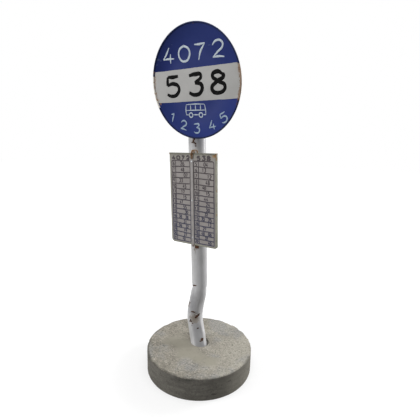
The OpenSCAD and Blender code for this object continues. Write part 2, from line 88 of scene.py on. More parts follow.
def light_the_world(ambient=0.27):
    world = bpy.data.worlds.new("studio")
    bpy.context.scene.world = world
    world.use_nodes = True
    tree = world.node_tree
    tree.nodes.clear()
    dim = add_node(tree, "ShaderNodeBackground", Color=(1, 1, 1, 1), Strength=ambient)
    white = add_node(tree, "ShaderNodeBackground", Color=(1, 1, 1, 1), Strength=1)
    mixed = add_node(tree, "ShaderNodeMixShader")
    output = add_node(tree, "ShaderNodeOutputWorld")
    tree.links.new(seen_directly(tree), mixed.inputs[0])
    tree.links.new(dim.outputs[0], mixed.inputs[1])
    tree.links.new(white.outputs[0], mixed.inputs[2])
    tree.links.new(mixed.outputs[0], output.inputs[0])


def soft_lamp(name, place, target, width, height, power):
    data = bpy.data.lights.new(name, "AREA")
    data.shape = "RECTANGLE"
    data.size = width
    data.size_y = height
    data.energy = power
    lamp = bpy.data.objects.new(name, data)
    lamp.location = place
    lamp.rotation_euler = (Vector(target) - Vector(place)).to_track_quat("-Z", "Y").to_euler()
    lamp.visible_camera = False
    bpy.context.scene.collection.objects.link(lamp)


def lay_floor(reach=14.0, lift=0.66):
    bm = bmesh.new()
    bmesh.ops.create_circle(bm, cap_ends=True, segments=64, radius=reach)
    mesh = bpy.data.meshes.new("floor")
    bm.to_mesh(mesh)
    bm.free()
    floor = bpy.data.objects.new("floor", mesh)
    bpy.context.scene.collection.objects.link(floor)
    material = bpy.data.materials.new("floor")
    material.use_nodes = True
    tree = material.node_tree
    tree.nodes.clear()
    matt = add_node(tree, "ShaderNodeBsdfDiffuse", Color=(0.3, 0.3, 0.3, 1))
    glow = add_node(tree, "ShaderNodeEmission", Color=(1, 1, 1, 1))
    place = add_node(tree, "ShaderNodeTexCoord")
    away = add_node(tree, "ShaderNodeVectorMath", operation="LENGTH")
    tree.links.new(place.outputs["Object"], away.inputs[0])
    far = add_node(tree, "ShaderNodeMapRange", interpolation_type="SMOOTHSTEP")
    for socket, number in zip(list(far.inputs)[1:5], (0.36, 1.0, lift, 1.0)):
        socket.default_value = number
    tree.links.new(away.outputs["Value"], far.inputs["Value"])
    strength = add_node(tree, "ShaderNodeMath", operation="MULTIPLY")
    tree.links.new(far.outputs[0], strength.inputs[1])
    both = add_node(tree, "ShaderNodeAddShader")
    output = add_node(tree, "ShaderNodeOutputMaterial")
    tree.links.new(seen_directly(tree), strength.inputs[0])
    tree.links.new(strength.outputs[0], glow.inputs["Strength"])
    tree.links.new(matt.outputs[0], both.inputs[0])
    tree.links.new(glow.outputs[0], both.inputs[1])
    tree.links.new(both.outputs[0], output.inputs[0])
    mesh.materials.append(material)


light_the_world()
soft_lamp("overhead", (0.3, -0.3, 4.2), (0, 0, 0.6), 3.6, 3.6, 142)
soft_lamp("left_side", (-6.8, -7.1, 3.0), (0, 0, 0.8), 3.4, 4.8, 560)
soft_lamp("right_side", (2.3, 3.4, 1.6), (0, 0, 0.9), 1.0, 2.8, 142)
lay_floor()


# Concrete base: a round block cast in a steel ring, with a worn, chipped top edge.
# The leaning tube has pushed the mouth of its socket open on the right, and mortar fills the rest.
MM = 0.001
base_low, base_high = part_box("concrete_base")
base_radius = (base_high.x - base_low.x) / 2 + 4 * MM
base_height = base_high.z
base_round = 5 * MM
base_foot_round = 6 * MM
mouth_middle = Vector((-12.0 * MM, 21.0 * MM))
mouth_radius = 49.5 * MM
mouth_open_way = Vector((0.83, 0.55)).normalized()


def concrete_rings():
    """Middle, radius and height of each ring, from the mouth's floor over the top to the underside."""
    nothing = Vector((0, 0))
    floor = base_height - 16 * MM
    rings = [(mouth_middle, radius * MM, floor) for radius in (20, 34, 44, 49)]
    rings += [(mouth_middle, mouth_radius + out * MM, base_height - down * MM)
              for out, down in ((0, 13), (0.3, 9), (0.8, 5), (1.8, 2.4), (3.4, 0.8), (6, 0.1))]
    inner, outer, steps = mouth_radius + 9 * MM, base_radius - base_round, 46
    for i in range(steps + 1):
        share = i / steps
        rings.append((mouth_middle.lerp(nothing, share), inner + (outer - inner) * share, base_height))
    for i in range(1, 7):
        a = math.pi / 2 * i / 6
        down = base_round * (1 - math.cos(a))
        rings.append((nothing, outer + base_round * math.sin(a), base_height - down))
    side_top, side_low, steps = base_height - base_round, base_foot_round, 22
    for i in range(1, steps + 1):
        rings.append((nothing, base_radius, side_top + (side_low - side_top) * i / steps))
    for i in range(1, 4):
        a = math.pi / 2 * i / 3
        inwards = base_foot_round * (1 - math.cos(a))
        rings.append((nothing, base_radius - inwards, base_foot_round * (1 - math.sin(a))))
    rings.append((nothing, base_radius * 0.6, 0))
    return rings


def roughen(v):
    """Wear of the cast surface at one point: broad waves, sandy grain, and bites out of the top edge."""
    p = v.co.copy()
    flat = Vector((p.x, p.y, 0))
    reach = flat.length
    if p.z < base_foot_round * 0.5:
        return
    out = flat.normalized()
    edge = max(0, 1 - math.hypot(reach - base_radius, p.z - base_height) / (16 * MM))
    waves = noise.noise(p * 9) * 1.0 + noise.noise(p * 26) * 0.5
    grain = noise.noise(p * 110) * 0.6 + noise.noise(p * 230) * 0.4
    bite = max(0, noise.noise(Vector((out.x * 7, out.y * 7, p.z * 10 + 4.0))) - 0.05) * 9
    bite += max(0, noise.noise(p * 30 + Vector((3, 1, 2))) - 0.08) * 8
    if p.z > base_height - 2 * MM and reach < base_radius - base_round:
        v.co.z += (waves * 0.9 + grain) * MM - 0.4 * MM
    elif reach > base_radius - base_round - 2 * MM:
        v.co -= out * (0.4 - waves * 0.9 - grain * 0.9) * MM
    v.co -= (out * 0.6 + Vector((0, 0, 1)) * 0.8) * bite * edge * MM


def fill_the_mouth(v):
    """Mortar stands nearly level with the top round the tube, apart from the opened side."""
    away = Vector((v.co.x, v.co.y)) - mouth_middle
    if away.length > mouth_radius + 12 * MM or v.co.z < base_height - 30 * MM:
        return
    turned = away.normalized().dot(mouth_open_way) if away.length > 1e-6 else 0
    opened = min(1, max(0, (turned + 0.15) / 0.9)) ** 1.3
    depth = base_height - v.co.z
    v.co.z = base_height - depth * (0.06 + 0.64 * opened)


def verts_in(geom):
    return [item for item in geom if isinstance(item, bmesh.types.BMVert)]


def make_concrete_base():
    bm = bmesh.new()
    rings = concrete_rings()
    middle, radius, height = rings[0]
    first = bmesh.ops.create_circle(bm, cap_ends=True, segments=320, radius=radius)
    for v in first["verts"]:
        v.co += Vector((middle.x, middle.y, height))
    loop = [e for e in bm.edges if len(e.link_faces) < 2]
    for next_middle, next_radius, next_height in rings[1:]:
        made = bmesh.ops.extrude_edge_only(bm, edges=loop)["geom"]
        for v in verts_in(made):
            way = (Vector((v.co.x, v.co.y)) - middle).normalized()
            v.co.xy = next_middle + way * next_radius
            v.co.z = next_height
        loop = [e for e in made if isinstance(e, bmesh.types.BMEdge)]
        middle = next_middle
    bmesh.ops.holes_fill(bm, edges=loop, sides=0)
    for v in bm.verts:
        fill_the_mouth(v)
    for v in bm.verts:
        roughen(v)
    bmesh.ops.recalc_face_normals(bm, faces=bm.faces)
    return bm


# Masks that several finishes share: a mottle is a soft change of tone, a worn spot a ragged patch.
def new_group(name, inputs, outputs):
    tree = bpy.data.node_groups.new(name, "ShaderNodeTree")
    for socket, kind, value in inputs:
        made = tree.interface.new_socket(name=socket, in_out="INPUT", socket_type=kind)
        if value is not None:
            made.default_value = value
    for socket, kind in outputs:
        tree.interface.new_socket(name=socket, in_out="OUTPUT", socket_type=kind)
    return tree, tree.nodes.new("NodeGroupInput"), tree.nodes.new("NodeGroupOutput")


FLOAT, COLOUR, VECTOR = "NodeSocketFloat", "NodeSocketColor", "NodeSocketVector"


def math_node(tree, operation, a, b=None, c=None):
    node = add_node(tree, "ShaderNodeMath", operation=operation)
    for socket, value in zip(node.inputs, (a, b, c)):
        if isinstance(value, (int, float)):
            socket.default_value = value
        elif value is not None:
            tree.links.new(value, socket)
    return node.outputs[0]


def times(tree, a, b):
    return math_node(tree, "MULTIPLY", a, b)


def vector_node(tree, operation, a, b=None):
    node = add_node(tree, "ShaderNodeVectorMath", operation=operation)
    for socket, value in zip(node.inputs, (a, b)):
        if isinstance(value, (tuple, Vector)):
            socket.default_value = value
        elif value is not None:
            tree.links.new(value, socket)
    return node


def parts_of(tree, vector):
    """The x, y and z of a vector."""
    apart = add_node(tree, "ShaderNodeSeparateXYZ")
    tree.links.new(vector, apart.inputs[0])
    return apart.outputs


def ramp(tree, value, low, high, to_low=0.0, to_high=1.0):
    node = add_node(tree, "ShaderNodeMapRange", interpolation_type="SMOOTHSTEP")
    for socket, number in zip(node.inputs, (value, low, high, to_low, to_high)):
        if isinstance(number, (int, float)):
            socket.default_value = number
        else:
            tree.links.new(number, socket)
    return node.outputs[0]


def reach_of(tree, where):
    """Distance from the upright axis."""
    flat = vector_node(tree, "MULTIPLY", where, Vector((1, 1, 0))).outputs[0]
    return vector_node(tree, "LENGTH", flat).outputs["Value"]


def blend(tree, share, a, b):
    node = add_node(tree, "ShaderNodeMix", data_type="RGBA")
    for index, value in ((0, share), (6, a), (7, b)):
        if isinstance(value, (int, float)):
            node.inputs[index].default_value = value
        elif isinstance(value, tuple):
            node.inputs[index].default_value = (*value, 1) if len(value) == 3 else value
        else:
            tree.links.new(value, node.inputs[index])
    return node.outputs[2]


def noise_node(tree, where, scale, detail, roughness=0.55):
    node = add_node(tree, "ShaderNodeTexNoise", Scale=scale, Detail=detail, Roughness=roughness)
    tree.links.new(where, node.inputs["Vector"])
    return node.outputs["Fac"]


def make_mottle():
    tree, given, result = new_group(
        "mottle",
        [("Where", VECTOR, None), ("Scale", FLOAT, 20.0), ("Low", FLOAT, 0.35), ("High", FLOAT, 0.65)],
        [("Mask", FLOAT)],
    )
    cloud = add_node(tree, "ShaderNodeTexNoise", Detail=5.0, Roughness=0.6)
    tree.links.new(given.outputs["Where"], cloud.inputs["Vector"])
    tree.links.new(given.outputs["Scale"], cloud.inputs["Scale"])
    mask = ramp(tree, cloud.outputs["Fac"], given.outputs["Low"], given.outputs["High"])
    tree.links.new(mask, result.inputs["Mask"])
    return tree


def make_worn_spot():
    tree, given, result = new_group(
        "worn_spot",
        [
            ("Where", VECTOR, None), ("Middle", VECTOR, None), ("Half size", VECTOR, None),
            ("Ragged", FLOAT, 0.5), ("Cloud", FLOAT, 0.5), ("Soft", FLOAT, 0.15),
        ],
        [("Mask", FLOAT)],
    )
    away = vector_node(tree, "SUBTRACT", given.outputs["Where"], given.outputs["Middle"])
    scaled = vector_node(tree, "DIVIDE", away.outputs[0], given.outputs["Half size"])
    length = vector_node(tree, "LENGTH", scaled.outputs[0]).outputs["Value"]
    swing = math_node(tree, "SUBTRACT", given.outputs["Cloud"], 0.5)
    torn = math_node(tree, "MULTIPLY_ADD", swing, given.outputs["Ragged"], length)
    inner = math_node(tree, "SUBTRACT", 1.0, given.outputs["Soft"])
    mask = ramp(tree, torn, inner, 1.0, 1.0, 0.0)
    tree.links.new(mask, result.inputs["Mask"])
    return tree


MOTTLE, WORN_SPOT = make_mottle(), make_worn_spot()


def group_node(tree, group, links, **values):
    node = tree.nodes.new("ShaderNodeGroup")
    node.node_tree = group
    for name, socket in links.items():
        tree.links.new(socket, node.inputs[name])
    for name, value in values.items():
        node.inputs[name.replace("_", " ")].default_value = value
    return node


def spots(tree, where, cloud, places, ragged, soft):
    """The largest of the masks of several worn spots."""
    total = None
    for place in places:
        spot = group_node(tree, WORN_SPOT, {"Where": where, "Cloud": cloud}, Ragged=ragged, Soft=soft)
        spot.inputs["Middle"].default_value = Vector(place[0]) * MM
        spot.inputs["Half size"].default_value = Vector(place[1]) * MM
        mask = spot.outputs[0]
        if len(place) > 2:
            mask = times(tree, mask, place[2])
        total = mask if total is None else math_node(tree, "MAXIMUM", total, mask)
    return total


def mottled(tree, where, scale, low, high):
    return group_node(tree, MOTTLE, {"Where": where}, Scale=scale, Low=low, High=high).outputs[0]


def start_material(name, roughness, metallic=0.0, specular=0.5):
    material = bpy.data.materials.new(name)
    material.use_nodes = True
    tree = material.node_tree
    shader = tree.nodes["Principled BSDF"]
    shader.inputs["Roughness"].default_value = roughness
    shader.inputs["Metallic"].default_value = metallic
    shader.inputs["Specular IOR Level"].default_value = specular
    where = add_node(tree, "ShaderNodeTexCoord").outputs["Object"]
    return material, tree, shader, where


def lay_on(tree, shader, tone, height, strength, distance, roughness=None):
    """Gives a material its colour and its relief and, where it varies, its roughness."""
    tree.links.new(tone, shader.inputs["Base Color"])
    if roughness is not None:
        tree.links.new(roughness, shader.inputs["Roughness"])
    bump = add_node(tree, "ShaderNodeBump", Strength=strength, Distance=distance)
    tree.links.new(height, bump.inputs["Height"])
    tree.links.new(bump.outputs["Normal"], shader.inputs["Normal"])


def concrete_material():
    material, tree, shader, where = start_material("cast_concrete", 0.92, specular=0.22)
    height = parts_of(tree, where)["Z"]
    clouds = mottled(tree, where, 11, 0.36, 0.66)
    blue = mottled(tree, where, 6.5, 0.50, 0.64)
    grain = noise_node(tree, where, 105, 7, 0.85)
    sand = noise_node(tree, where, 420, 4, 0.8)
    smooth = spots(tree, where, noise_node(tree, where, 8, 4, 0.6), trowelled_places, 2.4, 0.7)
    rough = math_node(tree, "MULTIPLY_ADD", smooth, -0.85, 1.0)
    tone = blend(tree, clouds, (0.215, 0.199, 0.166), (0.325, 0.304, 0.258))
    to_right = vector_node(tree, "DOT_PRODUCT", where, Vector((0.83, 0.55, 0))).outputs["Value"]
    # Painted light: the top is made lighter towards the right, where more light falls.
    tone = blend(tree, ramp(tree, to_right, -0.05, 0.22, 0, 0.55), tone, (0.43, 0.41, 0.355))
    blue = times(tree, times(tree, blue, 0.6), rough)
    tone = blend(tree, blue, tone, (0.262, 0.265, 0.265))
    pale = times(tree, ramp(tree, grain, 0.51, 0.63), rough)
    dark = times(tree, ramp(tree, grain, 0.47, 0.37), rough)
    tone = blend(tree, pale, tone, (0.47, 0.435, 0.37))
    tone = blend(tree, dark, tone, (0.085, 0.080, 0.068))
    tone = blend(tree, times(tree, smooth, 0.85), tone, (0.270, 0.255, 0.208))
    tone = blend(tree, rim_dirt(tree, where, to_right), tone, (0.085, 0.080, 0.067))
    # The side's darker tone, partly painted shade, begins just below the top's edge.
    tone = blend(tree, where_side_starts(tree, where, height), tone, side_tone_and_shade(tree, where, grain, height, to_right))
    coarse = math_node(tree, "MULTIPLY_ADD", sand, 0.5, grain)
    calm = math_node(tree, "MULTIPLY_ADD", smooth, -0.8, 1.0)
    lay_on(tree, shader, tone, times(tree, coarse, calm), 0.9, 0.003)
    return material


def rim_dirt(tree, where, to_right):
    """Dirt that has settled along the worn rim of the top, most of it on the left."""
    near = ramp(tree, reach_of(tree, where), base_radius - 15 * MM, base_radius - 4 * MM)
    patchy = ramp(tree, noise_node(tree, where, 13, 5, 0.65), 0.42, 0.58, 0.25, 0.85)
    dirty = times(tree, near, patchy)
    return times(tree, dirty, ramp(tree, to_right, 0.16, -0.12, 0.25, 1.0))


def where_side_starts(tree, where, height):
    """Where the darker side starts, partly painted shade: right at the edge of the top, a little lower at
    some places.
    """
    wander = times(tree, math_node(tree, "SUBTRACT", noise_node(tree, where, 30, 4), 0.5), 14 * MM)
    level = math_node(tree, "ADD", height, wander)
    return ramp(tree, level, base_height - 1.5 * MM, base_height - 6 * MM)


def side_tone_and_shade(tree, where, grain, height, to_right):
    """The cast side, darker than the top partly as painted shade and partly in its own tone: faint rings from
    the steel form, fine specks, and a darker band just under the rim, mostly on the left.
    """
    streaked = add_node(tree, "ShaderNodeMapping")
    streaked.inputs["Scale"].default_value = (3, 3, 15)
    tree.links.new(where, streaked.inputs["Vector"])
    streaks = noise_node(tree, streaked.outputs[0], 4.0, 6, 0.7)
    # Painted shade: the side's tones are darker than the top's, partly for the light from above and partly
    # the concrete's own tone.
    wall = blend(tree, ramp(tree, streaks, 0.36, 0.66), (0.122, 0.115, 0.100), (0.185, 0.175, 0.152))
    wall = blend(tree, ramp(tree, grain, 0.53, 0.66, 0, 0.6), wall, (0.25, 0.235, 0.20))
    wall = blend(tree, ramp(tree, grain, 0.47, 0.36, 0, 0.7), wall, (0.045, 0.042, 0.036))
    # Painted light: the side is made lighter towards the right, where more light falls.
    wall = blend(tree, ramp(tree, to_right, 0.02, 0.27, 0, 0.6), wall, (0.27, 0.255, 0.215))
    pits = spots(tree, where, noise_node(tree, where, 60, 4, 0.7), side_pits, 3.0, 0.5)
    wall = blend(tree, times(tree, pits, 0.6), wall, (0.045, 0.042, 0.036))
    # A darker band just under the rim, mostly on the left.
    under = times(tree, ramp(tree, height, base_height - 40 * MM, base_height - 8 * MM),
                      ramp(tree, noise_node(tree, where, 7, 3, 0.5), 0.44, 0.60, 0, 0.6))
    under = times(tree, under, ramp(tree, to_right, 0.10, -0.15, 0.25, 1.0))
    return blend(tree, under, wall, (0.045, 0.043, 0.038))


# Where the mortar round the foot was smoothed, a ragged band across the front of the top: middle, half size
trowelled_places = (
    ((-105, -55, 126), (150, 80, 200)), ((50, -110, 126), (150, 75, 200)), ((135, -95, 126), (70, 60, 200)),
)
# Pits left by air at the steel form
side_pits = (
    ((222, -187, 34), (20, 20, 7)), ((283, -15, 48), (10, 12, 16)), ((262, -118, 84), (14, 14, 5)),
    ((285, 52, 58), (10, 14, 8)),
)


def finish_piece(bm, name, material, slot, *nodes, placed=None, smooth=True):
    """Puts the mesh in place, shades it, lets it ride on the part and take the CAD nodes' place."""
    if placed is not None:
        bmesh.ops.transform(bm, matrix=placed, verts=bm.verts)
    mesh = bpy.data.meshes.new(name)
    bm.to_mesh(mesh)
    bm.free()
    for polygon in mesh.polygons:
        polygon.use_smooth = smooth
    piece = bpy.data.objects.new(name, mesh)
    mesh.materials.append(material)
    bpy.context.scene.collection.objects.link(piece)
    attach(piece, "root")
    if nodes:
        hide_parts(*nodes)
    return piece


finish_piece(make_concrete_base(), "cast_base", concrete_material(), "concrete", "concrete_base")


# Anchor rods: two plain steel bars that cross in the tube's foot, inside the concrete.
# They were put in before the pour, and are rusty.
def make_rust():
    tree, given, result = new_group(
        "rust",
        [("Where", VECTOR, None)],
        [("Color", COLOUR), ("Height", FLOAT)],
    )
    where = given.outputs["Where"]
    broad = noise_node(tree, where, 90, 6, 0.65)
    fine = noise_node(tree, where, 520, 5, 0.7)
    dark = blend(tree, ramp(tree, broad, 0.38, 0.62), (0.035, 0.016, 0.010), (0.115, 0.043, 0.018))
    orange = blend(tree, ramp(tree, fine, 0.52, 0.74), dark, (0.26, 0.10, 0.030))
    height = math_node(tree, "MULTIPLY_ADD", fine, 0.5, broad)
    tree.links.new(orange, result.inputs["Color"])
    tree.links.new(height, result.inputs["Height"])
    return tree


RUST = make_rust()


def rusted(tree, where):
    """Colour and height of the rust at each point."""
    return group_node(tree, RUST, {"Where": where}).outputs


def dress(name, material):
    """Gives a CAD node its finish."""
    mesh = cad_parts[name].data
    mesh.materials.clear()
    mesh.materials.append(material)


def rusty_material(name="rusty_steel", fresh=0.0):
    material, tree, shader, where = start_material(name, 0.85)
    rust = rusted(tree, where)
    tone = blend(tree, fresh, rust["Color"], (0.33, 0.20, 0.10))
    lay_on(tree, shader, tone, rust["Height"], 0.8, 0.0008)
    return material


RUSTY = rusty_material()
dress("anchor_rods", RUSTY)


# Tube: one length of steel pipe under thick white paint, knocked over and bent twice near its foot.
# It is flattened a little at each bend, and the paint is chipped down to the rust there.
pole_radius = 44.55 * MM
foot = Vector((-18, 17, 126)) * MM
lower_bend = foot + Vector((-52, 25, 146)) * MM
upper_bend = lower_bend + Vector((29, 8, 175)) * MM
lean_forward = math.radians(2.5)
lean_left = math.radians(0.9)
upper_turn = Euler((lean_forward, -lean_left, 0)).to_matrix().to_4x4()
upper_way = upper_turn.to_3x3() @ Vector((0, 0, 1))
lower_way = (lower_bend - foot).normalized()
upper_length = 1268 * MM


def on_tube(s):
    """Frame on the upper tube, s above the upper bend: z along the tube and y to the back."""
    return Matrix.Translation(upper_bend + s * upper_way) @ upper_turn


def bend_rings(corner, way_in, way_out, radius, flat, steps):
    """Rings along one bend: middle, way along the tube, way to the outside, and flattening."""
    half = way_in.angle(way_out) / 2
    inward = (way_out - way_in * way_in.dot(way_out)).normalized()
    centre = corner - radius * math.tan(half) * way_in + radius * inward
    rings = []
    for i in range(steps + 1):
        a = 2 * half * i / steps
        out = way_in * math.sin(a) - inward * math.cos(a)
        way = way_in * math.cos(a) + inward * math.sin(a)
        rings.append((centre + radius * out, way, out, flat * math.sin(math.pi * i / steps) ** 2))
    return rings


def straight_rings(start, end, way, step=9 * MM):
    count = max(2, round((end - start).length / step))
    return [(start.lerp(end, i / count), way, Vector((1, 0, 0)), 0) for i in range(1, count)]


def tube_rings():
    middle_way = (upper_bend - lower_bend).normalized()
    low = bend_rings(lower_bend, lower_way, middle_way, 180 * MM, 0.07, 26)
    high = bend_rings(upper_bend, middle_way, upper_way, 300 * MM, 0.08, 22)
    start, top = foot - 90 * MM * lower_way, upper_bend + upper_length * upper_way
    rings = [(start, lower_way, Vector((1, 0, 0)), 0)]
    rings += straight_rings(start, low[0][0], lower_way)
    rings += low
    rings += straight_rings(low[-1][0], high[0][0], middle_way)
    rings += high
    rings += straight_rings(high[-1][0], top, upper_way, 14 * MM)
    rings.append((top, upper_way, Vector((1, 0, 0)), 0))
    return rings


# Dents of the bent stretch: middle, half size and depth
tube_dents = (
    (Vector((-62, 8, 470)) * MM, Vector((30, 30, 9)) * MM, 3.4 * MM),
    (Vector((-84, 8, 356)) * MM, Vector((26, 26, 34)) * MM, 2.2 * MM),
    (Vector((-30, 12, 292)) * MM, Vector((20, 20, 15)) * MM, 2.6 * MM),
    (Vector((-28, 18, 262)) * MM, Vector((26, 26, 22)) * MM, 2.8 * MM),
    (Vector((2, 30, 470)) * MM, Vector((30, 30, 34)) * MM, -1.2 * MM),
    (Vector((8, 32, 180)) * MM, Vector((26, 26, 40)) * MM, -3.4 * MM),
    (Vector((-4, 6, 205)) * MM, Vector((20, 20, 60)) * MM, 3.6 * MM),
    (Vector((-12, 38, 330)) * MM, Vector((34, 34, 80)) * MM, 4.5 * MM),
)


def make_tube():
    bm = bmesh.new()
    around = bm.verts.layers.float_vector.new("around")
    sides = 120
    rings = tube_rings()
    bmesh.ops.create_circle(bm, cap_ends=True, segments=sides, radius=pole_radius)
    loop = [e for e in bm.edges if len(e.link_faces) < 2]
    verts = sorted({v for e in loop for v in e.verts}, key=lambda v: math.atan2(v.co.y, v.co.x))
    angles = {v: math.atan2(v.co.y, v.co.x) for v in verts}
    place_ring(angles, rings[0], around)
    for ring in rings[1:]:
        made = bmesh.ops.extrude_edge_only(bm, edges=loop)["geom"]
        fresh = verts_in(made)
        loop = [e for e in made if isinstance(e, bmesh.types.BMEdge)]
        old = {tuple(round(c, 7) for c in v.co): a for v, a in angles.items()}
        angles = {v: old[tuple(round(c, 7) for c in v.co)] for v in fresh}
        place_ring(angles, ring, around)
    bmesh.ops.holes_fill(bm, edges=loop, sides=0)
    bmesh.ops.recalc_face_normals(bm, faces=bm.faces)
    return bm


def place_ring(angles, ring, around):
    """Puts one ring of vertices round the tube's axis, flattened towards its bend's outside."""
    middle, way, out, flat = ring
    side = Vector((0, 1, 0)).cross(way).normalized()
    back = way.cross(side)
    for v, a in angles.items():
        v[around] = (math.cos(a), math.sin(a), middle.z)
        p = pole_radius * (math.cos(a) * side + math.sin(a) * back)
        depth = p.dot(out) * out
        v.co = middle + p - flat * depth + flat / 2 * (p - depth)
        for dent, half, deep in tube_dents:
            away = v.co - dent
            far = math.sqrt(sum((away[i] / half[i]) ** 2 for i in range(3)))
            if far < 1:
                v.co -= p.normalized() * deep * (1 - far * far) ** 2


# Chips in the tube's paint: middle, half size in millimetres
paint_chips = (
    ((-41, -29, 1273), (5.6, 6.6, 7.7)), ((-45, -30, 1266), (5, 6.6, 9.8)),
    ((-47, -30, 1260), (6.3, 6.6, 4.8)), ((-52, -30, 1258), (7, 6.6, 3.1)),
    ((-39, -27, 1256), (5.6, 6.6, 3.1)), ((-35, -25, 1252), (4.2, 6.6, 4.2)),
    ((-34, -25, 1241), (3.6, 6.6, 3.6)),
    ((-58, 8, 468), (7, 8.8, 4.2)), ((-50, 6, 471), (8.4, 8.8, 3.9)), ((-41, 5, 474), (7.7, 8.8, 3.1)),
    ((-90, 15, 347), (7, 9.9, 11.2)), ((-87, 10, 334), (5.6, 9.9, 5.6)), ((-76, 4, 356), (4.2, 6.6, 4.2)),
    ((-71, 3, 362), (2.5, 6.6, 2.8)), ((-94, 22, 312), (5.6, 9.9, 5.6)),
    ((-53, 2, 311), (9.8, 8.8, 5)), ((-43, 4, 310), (8.4, 8.8, 3.9)),
    ((-27, 23, 289), (8.4, 9.9, 7)), ((-32, 16, 283), (9.1, 9.9, 7)), ((-37, 11, 277), (7, 8.8, 4.5)),
    ((-24, 26, 294), (4.8, 9.9, 3.6)),
    ((-61, -5, 258), (4.5, 8.8, 9.1)), ((-57, -6, 253), (7.7, 8.8, 5)), ((-65, -4, 251), (5.6, 8.8, 4.5)),
    ((-46, -6, 244), (4.8, 8.8, 3.4)), ((-15, 3, 219), (5.3, 8.8, 4.2)), ((-49, -6, 232), (2.5, 8.8, 2.5)),
    ((14, 4, 158), (8.4, 9.9, 9.8)), ((10, -2, 152), (4.8, 8.8, 3.6)),
)
# Broad brown stains and scuffs round them: middle, half size, strength
paint_stains = (
    ((-40, 4, 272), (46, 42, 46), 0.75), ((-44, -5, 688), (8, 14, 16), 0.85),
    ((-38, -3, 676), (5, 12, 20), 0.5),
    ((-34, -8, 696), (17, 14, 15), 0.6),
    ((-45, -30, 1264), (15, 14, 20), 0.35), ((-84, 12, 340), (14, 16, 26), 0.45),
    ((13, 2, 156), (12, 14, 14), 0.5), ((-50, 6, 470), (20, 14, 9), 0.35),
)


# Painted shade: grey patches on the tube's lower front, darkest on the overhanging bent stretch and just
# under the disc, fainter at the foot: middle, half size, strength
painted_shade_patches = (
    ((-44, -8, 190), (34, 34, 100), 0.25), ((-66, -2, 365), (56, 50, 130), 0.75),
    ((-64, 8, 440), (34, 34, 56), 0.45), ((-50, 0, 1268), (75, 75, 62), 0.4),
)
# Painted highlights: bright white spots beside the largest chip: middle, half size, strength
painted_highlight_spots = (((-36, 14, 292), (5, 8, 4), 0.9), ((-24, 20, 283), (4, 8, 3), 0.7))


def painted_shade_streak(tree):
    """Painted shade: a grey streak down the tube's front, right of the middle, that is strong on the bent
    stretch.
    """
    around = add_node(tree, "ShaderNodeAttribute", attribute_name="around").outputs["Vector"]
    height = parts_of(tree, around)["Z"]
    masks = []
    for degrees, start, end in ((-48, 0.74, 0.97), (-30, 0.89, 0.97)):
        way = Vector((math.cos(math.radians(degrees)), math.sin(math.radians(degrees)), 0))
        flat = vector_node(tree, "MULTIPLY", around, Vector((1, 1, 0))).outputs[0]
        facing = vector_node(tree, "DOT_PRODUCT", flat, way).outputs["Value"]
        masks.append(ramp(tree, facing, start, end))
    streak = math_node(tree, "MAXIMUM", masks[0], masks[1])
    low = ramp(tree, height, 0.30, 0.20, 0.25, 0.62)
    fade = ramp(tree, height, 0.70, 0.36)
    return times(tree, streak, times(tree, low, fade))


def chips_behind(tree, where):
    """Small chips that are scattered over the tube's back."""
    around = add_node(tree, "ShaderNodeAttribute", attribute_name="around").outputs["Vector"]
    scattered = ramp(tree, noise_node(tree, where, 26, 5, 0.6), 0.665, 0.685)
    return times(tree, scattered, ramp(tree, parts_of(tree, around)["Y"], 0.35, 0.65))


def tube_paint():
    material, tree, shader, where = start_material("chipped_white_paint", 0.3, specular=0.25)
    ragged_cloud = noise_node(tree, where, 150, 4, 0.6)
    stain_cloud = noise_node(tree, where, 60, 5, 0.65)
    mottle = mottled(tree, where, 9, 0.35, 0.7)
    run = add_node(tree, "ShaderNodeMapping")
    run.inputs["Scale"].default_value = (1, 1, 0.09)
    tree.links.new(where, run.inputs["Vector"])
    drips = noise_node(tree, run.outputs[0], 46, 5, 0.6)
    tone = blend(tree, mottle, (0.56, 0.56, 0.57), (0.495, 0.495, 0.495))
    tone = blend(tree, ramp(tree, drips, 0.55, 0.75, 0, 0.35), tone, (0.40, 0.39, 0.37))
    stains = spots(tree, where, stain_cloud, paint_stains, 1.5, 0.75)
    # Painted shade: grey patches and a grey streak on the tube's front.
    tone = blend(tree, spots(tree, where, stain_cloud, painted_shade_patches, 0.5, 0.9), tone, (0.20, 0.20, 0.21))
    tone = blend(tree, painted_shade_streak(tree), tone, (0.17, 0.17, 0.18))
    tone = blend(tree, stains, tone, (0.20, 0.165, 0.125))
    # Painted highlights: bright spots beside the largest chip.
    tone = blend(tree, spots(tree, where, ragged_cloud, painted_highlight_spots, 1.0, 0.3), tone, (0.85, 0.85, 0.84))
    chips = spots(tree, where, ragged_cloud, paint_chips, 2.0, 0.14)
    chips = math_node(tree, "MAXIMUM", chips, chips_behind(tree, where))
    tone = blend(tree, chips, tone, blend(tree, 0.45, rusted(tree, where)["Color"], (0.022, 0.012, 0.009)))
    dull = math_node(tree, "MAXIMUM", chips, times(tree, stains, 0.6))
    peel = noise_node(tree, where, 70, 3, 0.5)
    skin = math_node(tree, "MULTIPLY_ADD", peel, 0.25, times(tree, chips, -1.0))
    lay_on(tree, shader, tone, skin, 0.6, 0.0009, ramp(tree, dull, 0, 1, 0.28, 0.85))
    return material


TUBE_PAINT = tube_paint()
finish_piece(make_tube(), "bent_tube", TUBE_PAINT, "tube_paint", "pole")
for part in ("pole_cap", "disc_rail_upper", "disc_rail_lower"):
    dress(part, TUBE_PAINT)


